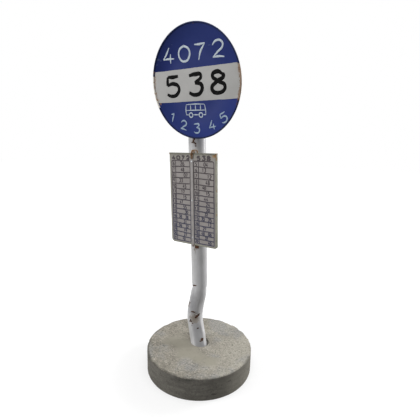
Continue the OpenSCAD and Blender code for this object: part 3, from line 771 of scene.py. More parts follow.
# Round sign: a disc of steel sheet with its edge curled forward over a wire, under fired blue enamel.
# A white field crosses it; the enamel has come off the rim there, and rust sits in the crease.
disc_radius = 258.5 * MM
rim_radius = 4 * MM
disc_sheet = 2 * MM
face_radius = disc_radius - 2 * rim_radius
disc_tilt = math.radians(4)
disc_seat = (pole_radius + 6 * MM) * math.cos(disc_tilt) + disc_radius * math.sin(disc_tilt)
out_of_round = Matrix(((0.9895, -0.0082, 0, 0), (-0.0082, 1.0085, 0, 0), (0, 0, 1, 0), (0, 0, 0, 1)))
on_disc = (
    on_tube(1098 * MM)
    @ Matrix.Rotation(disc_tilt, 4, "X") @ Matrix.Rotation(math.pi / 2, 4, "X")
    @ Matrix.Translation((40 * MM, 0, disc_seat)) @ out_of_round
)
band_top, band_bottom = 65.5 * MM, -81.5 * MM
band_slope = 0.0155


def make_disc():
    """Spins the disc's section: flat back, round rim and flat face."""
    bm = bmesh.new()
    section = [(0, 0), (face_radius * 0.5, 0), (disc_radius - rim_radius, 0)]
    turns = 18
    for i in range(1, turns + 1):
        a = -math.pi / 2 + math.radians(282) * i / turns
        out = disc_radius - rim_radius + rim_radius * math.cos(a)
        section.append((out, rim_radius + rim_radius * math.sin(a)))
    section += [(face_radius - 0.2 * MM, disc_sheet), (face_radius * 0.5, disc_sheet), (0, disc_sheet)]
    verts = [bm.verts.new((x, 0, z)) for x, z in section]
    edges = [bm.edges.new(pair) for pair in zip(verts, verts[1:])]
    bmesh.ops.spin(
        bm, geom=verts + edges, cent=(0, 0, 0), axis=(0, 0, 1), angle=2 * math.pi, steps=288, use_merge=True,
    )
    bmesh.ops.remove_doubles(bm, verts=bm.verts, dist=1e-6)
    bmesh.ops.recalc_face_normals(bm, faces=bm.faces)
    return bm


def seen_from(tree, where, placed):
    """Coordinates on a plate: x to the right, y up and z to the front of its own frame."""
    back = placed.inverted()
    joined = add_node(tree, "ShaderNodeCombineXYZ")
    for row, socket in zip(back, joined.inputs):
        along = vector_node(tree, "DOT_PRODUCT", where, Vector(row[:3])).outputs["Value"]
        tree.links.new(math_node(tree, "ADD", along, row[3]), socket)
    return joined.outputs[0]


def on_face(plate, lift, places):
    """Turns places on a plate's face, in millimetres, into places in the part's frame."""
    return [(tuple(plate @ (Vector((*place, lift)) * MM) / MM), *rest) for place, *rest in places]


# Chips in the enamel and pale smears on it: place on the face, half size, strength
enamel_chips = on_face(on_disc, 3, (
    ((16, 252), (5, 5, 5)), ((253, 40), (3, 4, 16)), ((252, 12), (3, 4, 8)), ((251, -52), (3, 4, 12)),
    ((-60, -252), (4, 4, 4)), ((-238, 6), (3, 4, 8)), ((-231, -46), (3, 4, 7)), ((-222, -88), (4, 4, 10)),
))
enamel_smears = on_face(on_disc, 2, (
    ((-214, 118), (16, 8, 6), 0.30), ((-196, 112), (10, 8, 4), 0.22), ((-118, 176), (4, 4, 2.5), 0.3),
    ((96, 152), (12, 8, 3), 0.2), ((-225, 96), (8, 6, 5), 0.2),
))


def enamel_material():
    material, tree, shader, where = start_material("fired_enamel", 0.5, specular=0.07)
    flat = seen_from(tree, where, on_disc)
    parts = parts_of(tree, flat)
    across, up = parts["X"], parts["Y"]
    out = reach_of(tree, flat)
    on_rim = ramp(tree, out, face_radius - 0.5 * MM, face_radius + 0.3 * MM)
    wander = times(tree, math_node(tree, "SUBTRACT", noise_node(tree, flat, 34, 3), 0.5), 4 * MM)
    level = math_node(tree, "ADD", up, wander)
    left = ramp(tree, across, 0.05, -0.05)
    rim_top = ramp(tree, left, 0, 1, 65 * MM, 43 * MM)
    rim_low = ramp(tree, left, 0, 1, -83 * MM, -107 * MM)
    below_top = math_node(tree, "LESS_THAN", level, rim_top)
    above_low = math_node(tree, "GREATER_THAN", level, rim_low)
    bare_rim = times(tree, times(tree, below_top, above_low), on_rim)
    mottle = mottled(tree, flat, 5, 0.3, 0.7)
    blue = blend(tree, mottle, (0.0145, 0.027, 0.130), (0.021, 0.033, 0.150))
    # Painted reflection: the blue is made lighter towards the top of the disc.
    blue = blend(tree, ramp(tree, up, 0.10, 0.25, 0, 0.9), blue, (0.027, 0.043, 0.180))
    blue = blend(tree, times(tree, on_rim, 0.75), blue, (0.005, 0.009, 0.028))
    dust = noise_node(tree, flat, 240, 3, 0.7)
    blue = blend(tree, ramp(tree, dust, 0.66, 0.80, 0, 0.25), blue, (0.16, 0.18, 0.28))
    # The bare rim is off-white on the left and rust-brown on the right; the left's off-white is lighter than
    # its paint, as painted light against the shade in its crease.
    tone = blend(tree, bare_rim, blue, blend(tree, left, (0.30, 0.22, 0.16), (0.66, 0.63, 0.57)))
    creased = ramp(tree, out, face_radius - 7 * MM, face_radius - 1 * MM)
    in_band = times(tree, ramp(tree, level, 76 * MM, 60 * MM), ramp(tree, level, -118 * MM, -96 * MM))
    scaly = noise_node(tree, flat, 75, 5, 0.7)
    scales = ramp(tree, scaly, ramp(tree, left, 0, 1, 0.50, 0.55), 0.62)
    rusty = times(tree, times(tree, creased, in_band), scales)
    chip = spots(tree, where, scaly, enamel_chips, 1.2, 0.3)
    rusty = math_node(tree, "MAXIMUM", rusty, chip)
    oxide = blend(tree, ramp(tree, left, 0, 1, 0.15, 0.75), rusted(tree, where)["Color"], (0.42, 0.24, 0.12))
    tone = blend(tree, rusty, tone, oxide)
    tone = blend(tree, spots(tree, where, scaly, enamel_smears, 1.4, 0.8), tone, (0.20, 0.26, 0.40))
    height = math_node(tree, "MULTIPLY_ADD", rusty, -0.12, noise_node(tree, flat, 16, 2, 0.4))
    lay_on(tree, shader, tone, height, 0.35, 0.004, ramp(tree, rusty, 0, 1, 0.5, 0.85))
    return material


ENAMEL = enamel_material()
finish_piece(make_disc(), "blue_disc", ENAMEL, "blue_enamel", "sign_disc", placed=on_disc)


def bend_rim_wire():
    """The wire in the curled rim is as little out of round as the disc."""
    bm = bmesh.new()
    bm.from_mesh(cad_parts["rim_wire"].data)
    bmesh.ops.remove_doubles(bm, verts=bm.verts, dist=1e-6)
    plain = on_disc @ out_of_round.inverted() @ Matrix.Translation((-1 * MM, 0, 0))
    bmesh.ops.transform(bm, matrix=on_disc @ plain.inverted(), verts=bm.verts)
    bmesh.ops.recalc_face_normals(bm, faces=bm.faces)
    return bm


finish_piece(bend_rim_wire(), "rim_core", RUSTY, "rusty_steel", "rim_wire")


# White field: a second coat of enamel across the disc, with slightly wandering edges.
# It stops short of the curled rim, and grows a little darker towards its left end.
field_thick = 0.4 * MM


def make_white_field():
    bm = bmesh.new()
    bmesh.ops.create_circle(bm, cap_ends=True, segments=288, radius=face_radius - 0.6 * MM)
    for height, side in ((band_top, 1), (band_bottom, -1)):
        everything = bm.verts[:] + bm.edges[:] + bm.faces[:]
        bmesh.ops.bisect_plane(
            bm, geom=everything, plane_co=(0, height, 0), plane_no=(0, side, 0), clear_outer=True,
        )
    straight = [e for e in bm.edges if e.calc_length() > 0.1]
    bmesh.ops.subdivide_edges(bm, edges=straight, cuts=150)
    for v in bm.verts:
        on_line = min(abs(v.co.y - band_top), abs(v.co.y - band_bottom)) < 1e-6
        if on_line:
            v.co.y += band_slope * v.co.x
        if on_line and abs(v.co.x) < 0.232:
            v.co.y += (noise.noise(Vector((v.co.x * 14, v.co.y * 40, 0))) * 1.1
                       + noise.noise(Vector((v.co.x * 70, v.co.y * 40, 5))) * 0.7) * MM
    raised = bmesh.ops.extrude_face_region(bm, geom=bm.faces[:])["geom"]
    bmesh.ops.translate(bm, verts=verts_in(raised), vec=(0, 0, field_thick))
    for v in bm.verts:
        v.co.z += disc_sheet + 0.01 * MM
    bmesh.ops.recalc_face_normals(bm, faces=bm.faces)
    return bm


def white_field_material():
    material, tree, shader, where = start_material("white_enamel", 0.5, specular=0.14)
    flat = seen_from(tree, where, on_disc)
    across = parts_of(tree, flat)["X"]
    out = reach_of(tree, flat)
    mottle = mottled(tree, flat, 7, 0.35, 0.7)
    tone = blend(tree, mottle, (0.418, 0.413, 0.400), (0.378, 0.374, 0.362))
    # Darker towards the left end of the field.
    tone = blend(tree, ramp(tree, across, 0.10, -0.26, 0, 0.3), tone, (0.33, 0.325, 0.315))
    scaly = noise_node(tree, flat, 60, 5, 0.7)
    near_rim = ramp(tree, out, face_radius - 16 * MM, face_radius - 1 * MM)
    stain = times(tree, near_rim, ramp(tree, scaly, 0.42, 0.62))
    tone = blend(tree, times(tree, stain, 0.55), tone, (0.27, 0.19, 0.12))
    crease = ramp(tree, out, face_radius - 8 * MM, face_radius - 2 * MM)
    rusty = times(tree, crease, ramp(tree, scaly, 0.48, 0.58))
    fresh = ramp(tree, across, 0.05, -0.05, 0.2, 0.75)
    oxide = blend(tree, fresh, rusted(tree, where)["Color"], (0.42, 0.24, 0.12))
    tone = blend(tree, rusty, tone, oxide)
    ripple = noise_node(tree, flat, 16, 2, 0.4)
    lay_on(tree, shader, tone, ripple, 0.35, 0.004, ramp(tree, rusty, 0, 1, 0.38, 0.85))
    return material


finish_piece(
    make_white_field(), "white_field", white_field_material(), "white_enamel", "white_band",
    placed=on_disc, smooth=False,
)


# Numbers on the sign: brushed on by hand with sign paint, four white ones above, three bold black ones
# in the white field, five small ones along the lower edge, and a little outline of a bus.
digit_strokes = {
    "0": [[(0.30, 0.98), (0.06, 0.74), (0.05, 0.28), (0.30, 0.02), (0.56, 0.26), (0.56, 0.74), (0.30, 0.98)]],
    "1": [[(0.10, 0.76), (0.24, 0.88), (0.34, 1.0)], [(0.34, 1.0), (0.33, 0.5), (0.34, 0.0)]],
    "2": [[(0.06, 0.76), (0.22, 0.98), (0.50, 0.90), (0.54, 0.66), (0.30, 0.34), (0.06, 0.04)],
          [(0.06, 0.04), (0.30, 0.07), (0.60, 0.02)]],
    "3": [[(0.08, 0.94), (0.32, 0.99), (0.54, 0.92), (0.30, 0.58)],
          [(0.30, 0.58), (0.55, 0.46), (0.52, 0.14), (0.26, 0.0), (0.05, 0.12)]],
    "4": [[(0.40, 1.0), (0.24, 0.62), (0.04, 0.28)], [(0.04, 0.28), (0.34, 0.30), (0.64, 0.28)],
          [(0.46, 0.60), (0.44, 0.30), (0.44, 0.0)]],
    "5": [[(0.12, 0.97), (0.10, 0.74), (0.08, 0.54)], [(0.12, 0.97), (0.32, 0.95), (0.56, 0.98)],
          [(0.08, 0.54), (0.34, 0.62), (0.56, 0.42), (0.48, 0.10), (0.22, 0.0), (0.05, 0.10)]],
    "6": [[(0.50, 0.97), (0.20, 0.72), (0.06, 0.36), (0.16, 0.04), (0.44, 0.02), (0.56, 0.28),
           (0.42, 0.50), (0.18, 0.44), (0.08, 0.30)]],
    "7": [[(0.06, 0.95), (0.32, 0.93), (0.58, 0.97)], [(0.58, 0.97), (0.36, 0.52), (0.24, 0.0)]],
    "8": [[(0.48, 0.84), (0.28, 0.99), (0.10, 0.82), (0.28, 0.56), (0.54, 0.28), (0.32, 0.0),
           (0.06, 0.20), (0.26, 0.54), (0.50, 0.78), (0.46, 0.88)]],
    "9": [[(0.52, 0.66), (0.34, 0.46), (0.10, 0.58), (0.12, 0.88), (0.36, 0.99), (0.54, 0.80),
           (0.52, 0.40), (0.36, 0.0)]],
}
digit_width = 0.62


def number_strokes(text, middle, height, gap=0.16, turn=0.0, stretch=1.0):
    """Strokes of one number about its middle, as lists of points in the plate's plane."""
    width = len(text) * digit_width + (len(text) - 1) * gap
    place = Matrix.Translation((middle[0], middle[1], 0)) @ Matrix.Rotation(turn, 4, "Z")
    strokes = []
    for i, sign in enumerate(text):
        for stroke in digit_strokes[sign]:
            points = []
            for x, y in stroke:
                x = (x + i * (digit_width + gap) - width / 2) * stretch
                points.append(place @ Vector((x * height, (y - 0.5) * height, 0)))
            strokes.append(points)
    return strokes


def paint_strokes(name, strokes, brush, sides, smooth_steps, tip=0.45, thick=0.1 * MM):
    """Lays a stroke of paint or ink along each list of points, and returns the flat strokes as one bmesh."""
    data = bpy.data.curves.new(name, "CURVE")
    data.dimensions = "3D"
    data.bevel_depth = 1.0
    data.bevel_resolution = sides
    data.resolution_u = smooth_steps
    data.use_fill_caps = True
    rng = random.Random(7)
    for points in strokes:
        spline = data.splines.new("BEZIER")
        spline.bezier_points.add(len(points) - 1)
        closed = len(points) > 2 and (points[0] - points[-1]).length < 1e-9
        for i, (knot, p) in enumerate(zip(spline.bezier_points, points)):
            knot.co = p
            knot.handle_left_type = knot.handle_right_type = "AUTO"
            end = i in (0, len(points) - 1) and not closed
            knot.radius = brush / 2 * (tip if end else 1.0) * rng.uniform(0.9, 1.1)
        if closed:
            spline.bezier_points[-1].radius = spline.bezier_points[0].radius
    source = bpy.data.objects.new(name, data)
    bpy.context.scene.collection.objects.link(source)
    bpy.context.view_layer.update()
    mesh = bpy.data.meshes.new_from_object(source)
    bpy.data.objects.remove(source)
    bm = bmesh.new()
    bm.from_mesh(mesh)
    bpy.data.meshes.remove(mesh)
    for v in bm.verts:
        v.co.z = max(0, v.co.z) / (brush / 2) * thick
    return bm


def brushed_paint(name, colour, shade, roughness, specular):
    material, tree, shader, where = start_material(name, roughness, specular=specular)
    streaks = noise_node(tree, where, 120, 4, 0.7)
    tone = blend(tree, ramp(tree, streaks, 0.42, 0.70), colour, shade)
    lay_on(tree, shader, tone, streaks, 0.25, 0.0006)
    return material


SIGN_WHITE = brushed_paint("white_sign_paint", (0.50, 0.56, 0.60), (0.38, 0.46, 0.54), 0.6, 0.2)
FADED_WHITE = brushed_paint("faded_sign_paint", (0.36, 0.46, 0.55), (0.24, 0.33, 0.45), 0.6, 0.1)
SIGN_BLACK = brushed_paint("black_sign_paint", (0.004, 0.004, 0.004), (0.010, 0.010, 0.010), 0.8, 0.05)


def write_on_disc(name, strokes, brush, material, slot, lift, sides=2, tip=0.45):
    bm = paint_strokes(name, strokes, brush, sides, 8, tip, 0.25 * MM)
    for v in bm.verts:
        v.co.z += lift
    finish_piece(bm, name, material, slot, placed=on_disc)


upper_strokes = []
for sign, across, up in (("4", -148, 129), ("0", -48, 130), ("7", 42, 131), ("2", 141, 132)):
    upper_strokes += number_strokes(sign, (across * MM, up * MM), 70 * MM, stretch=1.6)
write_on_disc("upper_numbers", upper_strokes, 10 * MM, SIGN_WHITE, "white_enamel", disc_sheet)

bold_strokes = []
for sign, across, up in (("5", -132, -9), ("3", 6, -8), ("8", 137, -4)):
    bold_strokes += number_strokes(sign, (across * MM, up * MM), 92 * MM, stretch=1.62)
write_on_disc(
    "middle_numbers", bold_strokes, 19 * MM, SIGN_BLACK, "blue_enamel", disc_sheet + field_thick,
    sides=3, tip=0.75,
)

arc_strokes = []
for sign, across, up in (
    ("1", -148, -157), ("2", -82, -194), ("3", -3, -209), ("4", 88, -193), ("5", 156, -159),
):
    arc_strokes += number_strokes(sign, (across * MM, up * MM), 44 * MM, turn=across * 2.6e-3, stretch=1.5)
write_on_disc("lower_numbers", arc_strokes, 7.5 * MM, FADED_WHITE, "white_enamel", disc_sheet)


def bus_outline(middle, w, h):
    """Strokes of a plain little bus seen from its side."""
    def at(x, y):
        return Vector((middle[0] + (x - 0.5) * w, middle[1] + (y - 0.5) * h, 0))

    def wheel(x, r=0.085):
        turns = [a * math.pi / 4 for a in range(9)]
        return [at(x + r * math.cos(a), 0.16 + r * w / h * math.sin(a)) for a in turns]

    body = [[at(0.03, 0.18), at(0.02, 0.5), at(0.05, 0.95)], [at(0.05, 0.95), at(0.5, 0.98), at(0.93, 0.95)],
            [at(0.93, 0.95), at(0.97, 0.6), at(0.98, 0.18)],
            [at(0.03, 0.18), at(0.1, 0.18), at(0.15, 0.18)], [at(0.37, 0.18), at(0.5, 0.18), at(0.63, 0.18)],
            [at(0.85, 0.18), at(0.92, 0.18), at(0.98, 0.18)]]
    glass = [[at(0.04, 0.52), at(0.5, 0.52), at(0.96, 0.52)]]
    glass += [[at(x, 0.54), at(x, 0.7), at(x, 0.90)] for x in (0.26, 0.50, 0.74)]
    return body + glass + [wheel(0.26), wheel(0.74)]


write_on_disc(
    "bus_mark", bus_outline((-2 * MM, -125 * MM), 124 * MM, 62 * MM), 5.5 * MM,
    SIGN_WHITE, "white_enamel", disc_sheet,
)


# Timetable board: a tray folded from steel sheet, painted grey, with an angle strip hooked over its top.
# The paint is weathered, with olive grime round the edges and rust at the upper right corner.
board_width, board_height_mm = 292, 479
board_depth = 12 * MM
board_tilt = math.radians(2)
board_seat = (pole_radius + 5 * MM) * math.cos(board_tilt) + board_height_mm / 2 * MM * math.sin(board_tilt)
on_board = (
    on_tube(519 * MM)
    @ Matrix.Rotation(-board_tilt, 4, "X") @ Matrix.Rotation(math.pi / 2, 4, "X")
    @ Matrix.Translation((15.5 * MM, 0, board_seat)) @ Matrix.Rotation(math.radians(1.1), 4, "Z")
)
half_w, half_h = board_width / 2 * MM, board_height_mm / 2 * MM


def plate(left, low, right, top, z, thick, corners):
    """A flat plate with its corners rounded: lower left, lower right, upper right and upper left radius."""
    bm = bmesh.new()
    places = [(left, low), (right, low), (right, top), (left, top)]
    verts = [bm.verts.new((x, y, z)) for x, y in places]
    bm.faces.new(verts)
    for v, radius in zip(verts, corners):
        if radius > 0:
            bmesh.ops.bevel(
                bm, geom=[v], offset=radius, offset_type="OFFSET", segments=10,
                profile=0.5, affect="VERTICES", material=-1,
            )
    raised = bmesh.ops.extrude_face_region(bm, geom=bm.faces[:])["geom"]
    bmesh.ops.translate(bm, verts=verts_in(raised), vec=(0, 0, thick))
    bmesh.ops.recalc_face_normals(bm, faces=bm.faces)
    return bm


def round_edges(bm, edges, offset, segments):
    bmesh.ops.bevel(
        bm, geom=edges, offset=offset, segments=segments, profile=0.5, affect="EDGES", material=-1,
    )


def make_board():
    """The tray: a plate as deep as the folds, hollowed from the back, with a small bend along its face."""
    bm = plate(-half_w, -half_h, half_w, half_h, 0, board_depth, (20 * MM, 14 * MM, 4 * MM, 4 * MM))
    back = [f for f in bm.faces if f.calc_center_median().z < 1e-6]
    bmesh.ops.inset_region(bm, faces=back, thickness=1.5 * MM)
    bmesh.ops.translate(bm, verts=back[0].verts, vec=(0, 0, board_depth - 1.5 * MM))
    rim = [e for e in bm.edges if all(v.co.z > board_depth - 1e-6 for v in e.verts)]
    round_edges(bm, rim, 1.2 * MM, 3)
    return bm


def board_paint():
    material, tree, shader, where = start_material("weathered_board_paint", 0.55, specular=0.22)
    flat = seen_from(tree, where, on_board)
    mottle = mottled(tree, flat, 14, 0.35, 0.68)
    tone = blend(tree, mottle, (0.300, 0.295, 0.240), (0.215, 0.212, 0.165))
    grime = noise_node(tree, flat, 90, 6, 0.7)
    tone = blend(tree, ramp(tree, grime, 0.52, 0.70, 0, 0.5), tone, (0.115, 0.108, 0.085))
    scaly = noise_node(tree, flat, 60, 5, 0.7)
    corners = on_face(on_board, 15, (
        ((134, 231), (15, 12, 13)), ((146, 216), (4, 8, 15)), ((-146, 234), (5, 6, 6)),
        ((-4, -238), (9, 9, 7)), ((146, 60), (3, 8, 9)), ((146, -60), (3, 8, 7)),
    ))
    rusty = spots(tree, where, scaly, corners, 1.6, 0.35)
    warm = blend(tree, 0.7, rusted(tree, where)["Color"], (0.34, 0.20, 0.09))
    tone = blend(tree, rusty, tone, warm)
    height = math_node(tree, "MULTIPLY_ADD", rusty, -0.5, grime)
    lay_on(tree, shader, tone, height, 0.3, 0.0008, ramp(tree, rusty, 0, 1, 0.5, 0.9))
    return material


BOARD_PAINT = board_paint()


def fix_on_board(bm, name, material, slot, node):
    finish_piece(bm, name, material, slot, node, placed=on_board, smooth=False)


fix_on_board(make_board(), "board_tray", BOARD_PAINT, "board_paint", "timetable_board")


def make_drip_strip():
    w = half_w + 1 * MM
    bm = plate(-w, half_h, w, half_h + 2 * MM, 0, board_depth + 2 * MM, (0, 0, 0, 0))
    front = plate(-w, half_h - 5 * MM, w, half_h, board_depth, 2 * MM, (0, 0, 0, 0))
    joined = bpy.data.meshes.new("strip")
    front.to_mesh(joined)
    front.free()
    bm.from_mesh(joined)
    bpy.data.meshes.remove(joined)
    round_edges(bm, bm.edges[:], 0.35 * MM, 2)
    return bm


def dark_board_paint():
    material, tree, shader, where = start_material("grimy_strip_paint", 0.6, specular=0.22)
    grime = noise_node(tree, where, 60, 6, 0.7)
    tone = blend(tree, ramp(tree, grime, 0.35, 0.65), (0.125, 0.122, 0.100), (0.195, 0.190, 0.155))
    scaly = noise_node(tree, where, 60, 5, 0.7)
    ends = on_face(on_board, 16, (((150, 236), (12, 14, 12)), ((-153, 236), (12, 14, 12))))
    rusty = spots(tree, where, scaly, ends, 1.6, 0.4)
    tone = blend(tree, rusty, tone, blend(tree, 0.55, rusted(tree, where)["Color"], (0.30, 0.155, 0.055)))
    lay_on(tree, shader, tone, grime, 0.3, 0.0008)
    return material


fix_on_board(make_drip_strip(), "top_strip", dark_board_paint(), "board_paint", "drip_strip")


# Timetable sheets: two faded sheets pasted on the board, each with a table ruled and filled in by hand.
# The marker is brown at the top, where the sun reached it, and still navy at the bottom.
batten_x = -2 * MM
sheet_thick = 0.5 * MM
sheet_top, sheet_low = half_h - 6 * MM, -half_h + 8 * MM
table_top, table_low = sheet_top - 32 * MM, sheet_low + 6 * MM
left_sheet = (-half_w + 8 * MM, batten_x - 3.5 * MM, (12 * MM, 1 * MM, 1 * MM, 1 * MM))
right_sheet = (batten_x + 3.5 * MM, half_w - 8 * MM, (1 * MM, 6 * MM, 15 * MM, 1 * MM))
# Left and right edge, width of the hours' column, and climb of the top and bottom rows
left_table = (-132 * MM, -14 * MM, 24 * MM, 4 * MM, -7 * MM)
right_table = (10 * MM, 131 * MM, 29 * MM, -5 * MM, -1 * MM)
table_rows = 16


def sheet_material():
    material, tree, shader, where = start_material("faded_sheet", 0.7, specular=0.22)
    flat = seen_from(tree, where, on_board)
    up = parts_of(tree, flat)["Y"]
    mottle = mottled(tree, flat, 12, 0.35, 0.68)
    fibre = noise_node(tree, flat, 300, 5, 0.7)
    tone = blend(tree, mottle, (0.312, 0.288, 0.277), (0.270, 0.248, 0.238))
    tone = blend(tree, ramp(tree, up, 190 * MM, 232 * MM, 0, 0.55), tone, (0.270, 0.262, 0.215))
    tone = blend(tree, ramp(tree, fibre, 0.55, 0.75, 0, 0.3), tone, (0.22, 0.20, 0.18))
    corner = on_face(on_board, 14, (((132, 228), (14, 12, 12)),))
    rusty = spots(tree, where, fibre, corner, 1.4, 0.7)
    tone = blend(tree, rusty, tone, (0.32, 0.20, 0.10))
    lay_on(tree, shader, tone, fibre, 0.2, 0.0005)
    return material


def sheet(left, right, corners):
    return plate(left, sheet_low, right, sheet_top, board_depth, sheet_thick, corners)


SHEET = sheet_material()
fix_on_board(sheet(*left_sheet), "left_sheet", SHEET, "sheet_paper", "timetable_sheet_left")
fix_on_board(sheet(*right_sheet), "right_sheet", SHEET, "sheet_paper", "timetable_sheet_right")


def ruled_line(rng, start, end, steps=7, wander=0.9 * MM):
    """A line drawn by hand along a short rule that slipped now and then."""
    points = []
    shift = 0
    for i in range(steps + 1):
        shift = shift * 0.6 + rng.uniform(-1, 1) * wander
        p = Vector(start).lerp(Vector(end), i / steps)
        points.append(Vector((p.x, p.y + shift, 0)))
    return points


def ruled_upright(rng, x, low, high, wander=0.8 * MM):
    return [Vector((x + rng.uniform(-1, 1) * wander, low + (high - low) * i / 9, 0)) for i in range(10)]


def row_rise(row, high_rise, low_rise):
    """How far a ruled row climbs from its left end to its right end."""
    return high_rise + (low_rise - high_rise) * row / table_rows


def table_strokes(rng, left, right, hour_width, high_rise, low_rise, corner=10 * MM):
    heights = row_heights(rng)
    strokes = []
    for row, y in enumerate(heights[1:], 1):
        rise = row_rise(row, high_rise, low_rise) / 2 if row < table_rows else 0
        strokes.append(ruled_line(rng, (left, y - rise, 0), (right, y + rise, 0)))
    strokes.append(ruled_upright(rng, left, heights[-1], table_top - corner))
    strokes.append(ruled_upright(rng, right, heights[-1], table_top - corner))
    strokes.append(ruled_upright(rng, left + hour_width, heights[-1], table_top))
    cut = 0.3 * corner
    top = [(left, table_top - corner), (left + cut, table_top - cut), (left + corner, table_top)]
    top += [(left + (right - left) * i / 6, table_top + rng.uniform(-1, 1) * MM) for i in range(1, 6)]
    top += [(right - corner, table_top), (right - cut, table_top - cut), (right, table_top - corner)]
    strokes.append([Vector((x, y, 0)) for x, y in top])
    return strokes, heights


def row_heights(rng):
    """Heights of the ruled rows: they close up a little towards the bottom."""
    full = table_top - table_low
    first, last = 1.12, 0.86
    shares = [first + (last - first) * i / (table_rows - 1) for i in range(table_rows)]
    scale = full / sum(shares)
    heights = [table_top]
    for share in shares:
        heights.append(heights[-1] - share * scale)
    return heights[:1] + [y + rng.uniform(-1, 1) * MM for y in heights[1:-1]] + [table_low]


def filled_in(rng, left, right, hour_width, high_rise, low_rise, heights, first_hour):
    """Hours in the narrow column, and one or two departures beside each."""
    strokes = []
    for row in range(table_rows):
        top, low = heights[row], heights[row + 1]
        middle = (top + low) / 2
        size = (top - low) * rng.uniform(0.58, 0.68)
        strokes += number_strokes(
            str(first_hour + row), (left + hour_width / 2 + rng.uniform(-1.5, 1.5) * MM, middle),
            size * 0.92, turn=rng.uniform(-0.08, 0.04), stretch=0.85,
        )
        places = rng.choice(((0.36,), (0.60,), (0.26, 0.72), (0.48,), (0.70,)))
        for share in places:
            x = left + hour_width + (right - left - hour_width) * share
            y = middle + row_rise(row + 0.5, high_rise, low_rise) * (x - (left + right) / 2) / (right - left)
            minute = rng.randrange(2, 58)
            strokes += number_strokes(
                f"{minute:02d}", (x, y + rng.uniform(-1.2, 1.2) * MM), size,
                turn=rng.uniform(-0.14, 0.02), stretch=0.9,
            )
    return strokes


def ink_material():
    material, tree, shader, where = start_material("faded_marker", 0.6)
    flat = seen_from(tree, where, on_board)
    sun = ramp(tree, parts_of(tree, flat)["Y"], -0.16, 0.10)
    blot = noise_node(tree, flat, 70, 4, 0.6)
    tone = blend(tree, sun, (0.010, 0.011, 0.034), (0.012, 0.005, 0.007))
    tone = blend(tree, ramp(tree, blot, 0.55, 0.78, 0, 0.4), tone, (0.060, 0.050, 0.062))
    tree.links.new(tone, shader.inputs["Base Color"])
    return material


INK = ink_material()
for name, sides, first_hour, heading, seed in (
    ("left", left_table, 6, "4072", 11), ("right", right_table, 5, "538", 23),
):
    rng = random.Random(seed)
    lines, heights = table_strokes(rng, *sides)
    bold = number_strokes(heading, (sum(sides[:2]) / 2, table_top + 15 * MM), 20 * MM, 0.26, stretch=1.75)
    bold = paint_strokes(name + "_heading", bold, 8.5 * MM, 1, 4, 0.8, 0.15 * MM)
    ruling = paint_strokes(name + "_ruling", lines, 5.8 * MM, 1, 4, 0.8, 0.15 * MM)
    times = filled_in(rng, *sides, heights, first_hour)
    figures = paint_strokes(name + "_times", times, 5.0 * MM, 1, 4, 0.7, 0.15 * MM)
    for bm in (ruling, figures, bold):
        for v in bm.verts:
            v.co.z += board_depth + sheet_thick
    finish_piece(ruling, name + "_ruling", INK, "ruled_ink", "table_rules_" + name, placed=on_board)
    finish_piece(figures, name + "_times", INK, "ruled_ink", placed=on_board)
    finish_piece(bold, name + "_heading", INK, "ruled_ink", placed=on_board)


# Middle batten: a painted strip riveted over the gap between the two sheets, with a tab below the board.
# It is paler than the sheets, and its rivets are dull zinc.
def batten_paint():
    material, tree, shader, where = start_material("pale_batten_paint", 0.5, specular=0.22)
    mottle = mottled(tree, where, 22, 0.35, 0.7)
    tone = blend(tree, mottle, (0.330, 0.310, 0.300), (0.265, 0.250, 0.240))
    grime = noise_node(tree, where, 120, 5, 0.7)
    tone = blend(tree, ramp(tree, grime, 0.58, 0.75, 0, 0.5), tone, (0.20, 0.18, 0.15))
    scaly = noise_node(tree, where, 60, 5, 0.7)
    tip = on_face(on_board, 16, (((0.5, -243), (4, 8, 8)),))
    rusty = spots(tree, where, scaly, tip, 1.2, 0.4)
    tone = blend(tree, rusty, tone, rusted(tree, where)["Color"])
    lay_on(tree, shader, tone, grime, 0.25, 0.0006)
    return material


def make_batten():
    bm = plate(
        batten_x - 8 * MM, -half_h - 9 * MM, batten_x + 8 * MM, sheet_top - 8 * MM,
        board_depth + sheet_thick, 2.5 * MM, (2 * MM, 2 * MM, 1 * MM, 1 * MM),
    )
    front = [e for e in bm.edges if all(v.co.z > board_depth + sheet_thick + 2.4 * MM for v in e.verts)]
    round_edges(bm, front, 0.5 * MM, 2)
    return bm


fix_on_board(make_batten(), "batten", batten_paint(), "board_paint", "middle_batten")


# Clamps: zinc-plated straps and bolts hold the painted rails of the disc and the board to the tube.
# The zinc has gone dull and grey, with a little rust at the edges.
def zinc_material():
    material, tree, shader, where = start_material("dull_zinc", 0.45, 0.85)
    mottle = mottled(tree, where, 60, 0.38, 0.66)
    tone = blend(tree, mottle, (0.42, 0.43, 0.45), (0.30, 0.31, 0.33))
    scaly = noise_node(tree, where, 70, 6, 0.7)
    rusty = ramp(tree, scaly, 0.62, 0.70)
    tone = blend(tree, rusty, tone, rusted(tree, where)["Color"])
    tree.links.new(ramp(tree, rusty, 0, 1, 0.85, 0.0), shader.inputs["Metallic"])
    lay_on(tree, shader, tone, scaly, 0.2, 0.0006, ramp(tree, rusty, 0, 1, 0.42, 0.9))
    return material


ZINC = zinc_material()
for plates in ("disc", "board"):
    for part in ("strap_upper", "strap_lower", "bolts", "washers", "nuts"):
        dress(plates + "_" + part, ZINC)
dress("batten_rivets", ZINC)
dress("board_rail_upper", BOARD_PAINT)
dress("board_rail_lower", BOARD_PAINT)


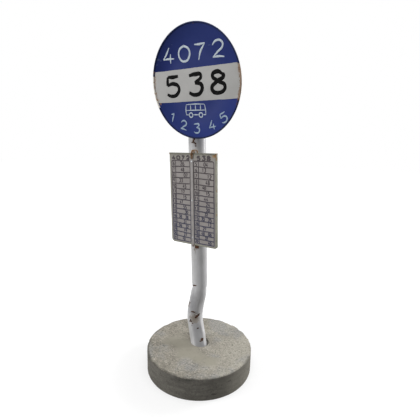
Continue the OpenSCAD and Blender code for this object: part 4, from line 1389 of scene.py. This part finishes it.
# Wire tie and foot bracket: iron wire looped round the tube and hooked over the board's top,
# and a small angle bolted to the tube under the board. Both are rusted through their finish.
def thicken_wire():
    """The tie is doubled and twisted, so it is thicker and more uneven than one plain wire."""
    bm = bmesh.new()
    bm.from_mesh(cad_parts["wire_tie"].data)
    bmesh.ops.remove_doubles(bm, verts=bm.verts, dist=1e-6)
    bmesh.ops.recalc_face_normals(bm, faces=bm.faces)
    bm.normal_update()
    ways = {v: v.normal.copy() for v in bm.verts}
    for v, way in ways.items():
        v.co += way * (0.9 + 0.8 * noise.noise(v.co * 160)) * MM
    return bm


WIRE = rusty_material("rusty_wire", 0.6)
finish_piece(thicken_wire(), "twisted_wire", WIRE, "rusty_steel", "wire_tie")


def wire_ring(bm, middle, turn, radius=6.5 * MM, wire=1.5 * MM):
    """One turn of the twist: a small ring of wire."""
    made = bmesh.ops.create_circle(bm, segments=10, radius=wire)["verts"]
    bmesh.ops.rotate(bm, verts=made, matrix=Matrix.Rotation(math.pi / 2, 3, "X"))
    bmesh.ops.translate(bm, verts=made, vec=(radius, 0, 0))
    edges = list({e for v in made for e in v.link_edges})
    before = set(bm.verts) - set(made)
    bmesh.ops.spin(bm, geom=made + edges, axis=(0, 0, 1), angle=2 * math.pi, steps=24, use_merge=True)
    fresh = [v for v in bm.verts if v not in before]
    turned = Euler([math.radians(a) for a in turn]).to_matrix().to_4x4()
    bmesh.ops.transform(bm, matrix=Matrix.Translation(Vector(middle) * MM) @ turned, verts=fresh)


def make_knot():
    """Where the wire's ends are twisted together over the board's top edge, and one end that hangs down."""
    bm = bmesh.new()
    for middle, turn in (
        ((10, 246, 15.5), (20, 70, 0)), ((6, 243, 16.0), (30, 40, 20)), ((2, 238, 16.5), (10, 60, -20)),
        ((14, 250, 14.5), (0, 80, 30)),
    ):
        wire_ring(bm, middle, turn)
    for middle, length, lean in (((-6, 226, 16.5), 22, 0.10), ((5, 225, 16.5), 24, -0.12)):
        made = bmesh.ops.create_cone(
            bm, cap_ends=True, segments=10, radius1=1.6 * MM, radius2=1.3 * MM, depth=length * MM)["verts"]
        place = Matrix.Translation(Vector(middle) * MM) @ Matrix.Rotation(lean, 4, "Z")
        bmesh.ops.transform(bm, matrix=place @ Matrix.Rotation(math.pi / 2, 4, "X"), verts=made)
    bmesh.ops.remove_doubles(bm, verts=bm.verts, dist=1e-7)
    bmesh.ops.recalc_face_normals(bm, faces=bm.faces)
    return bm


finish_piece(make_knot(), "wire_knot", WIRE, "rusty_steel", placed=on_board)
dress("foot_bracket", RUSTY)
dress("foot_bracket_bolt", RUSTY)
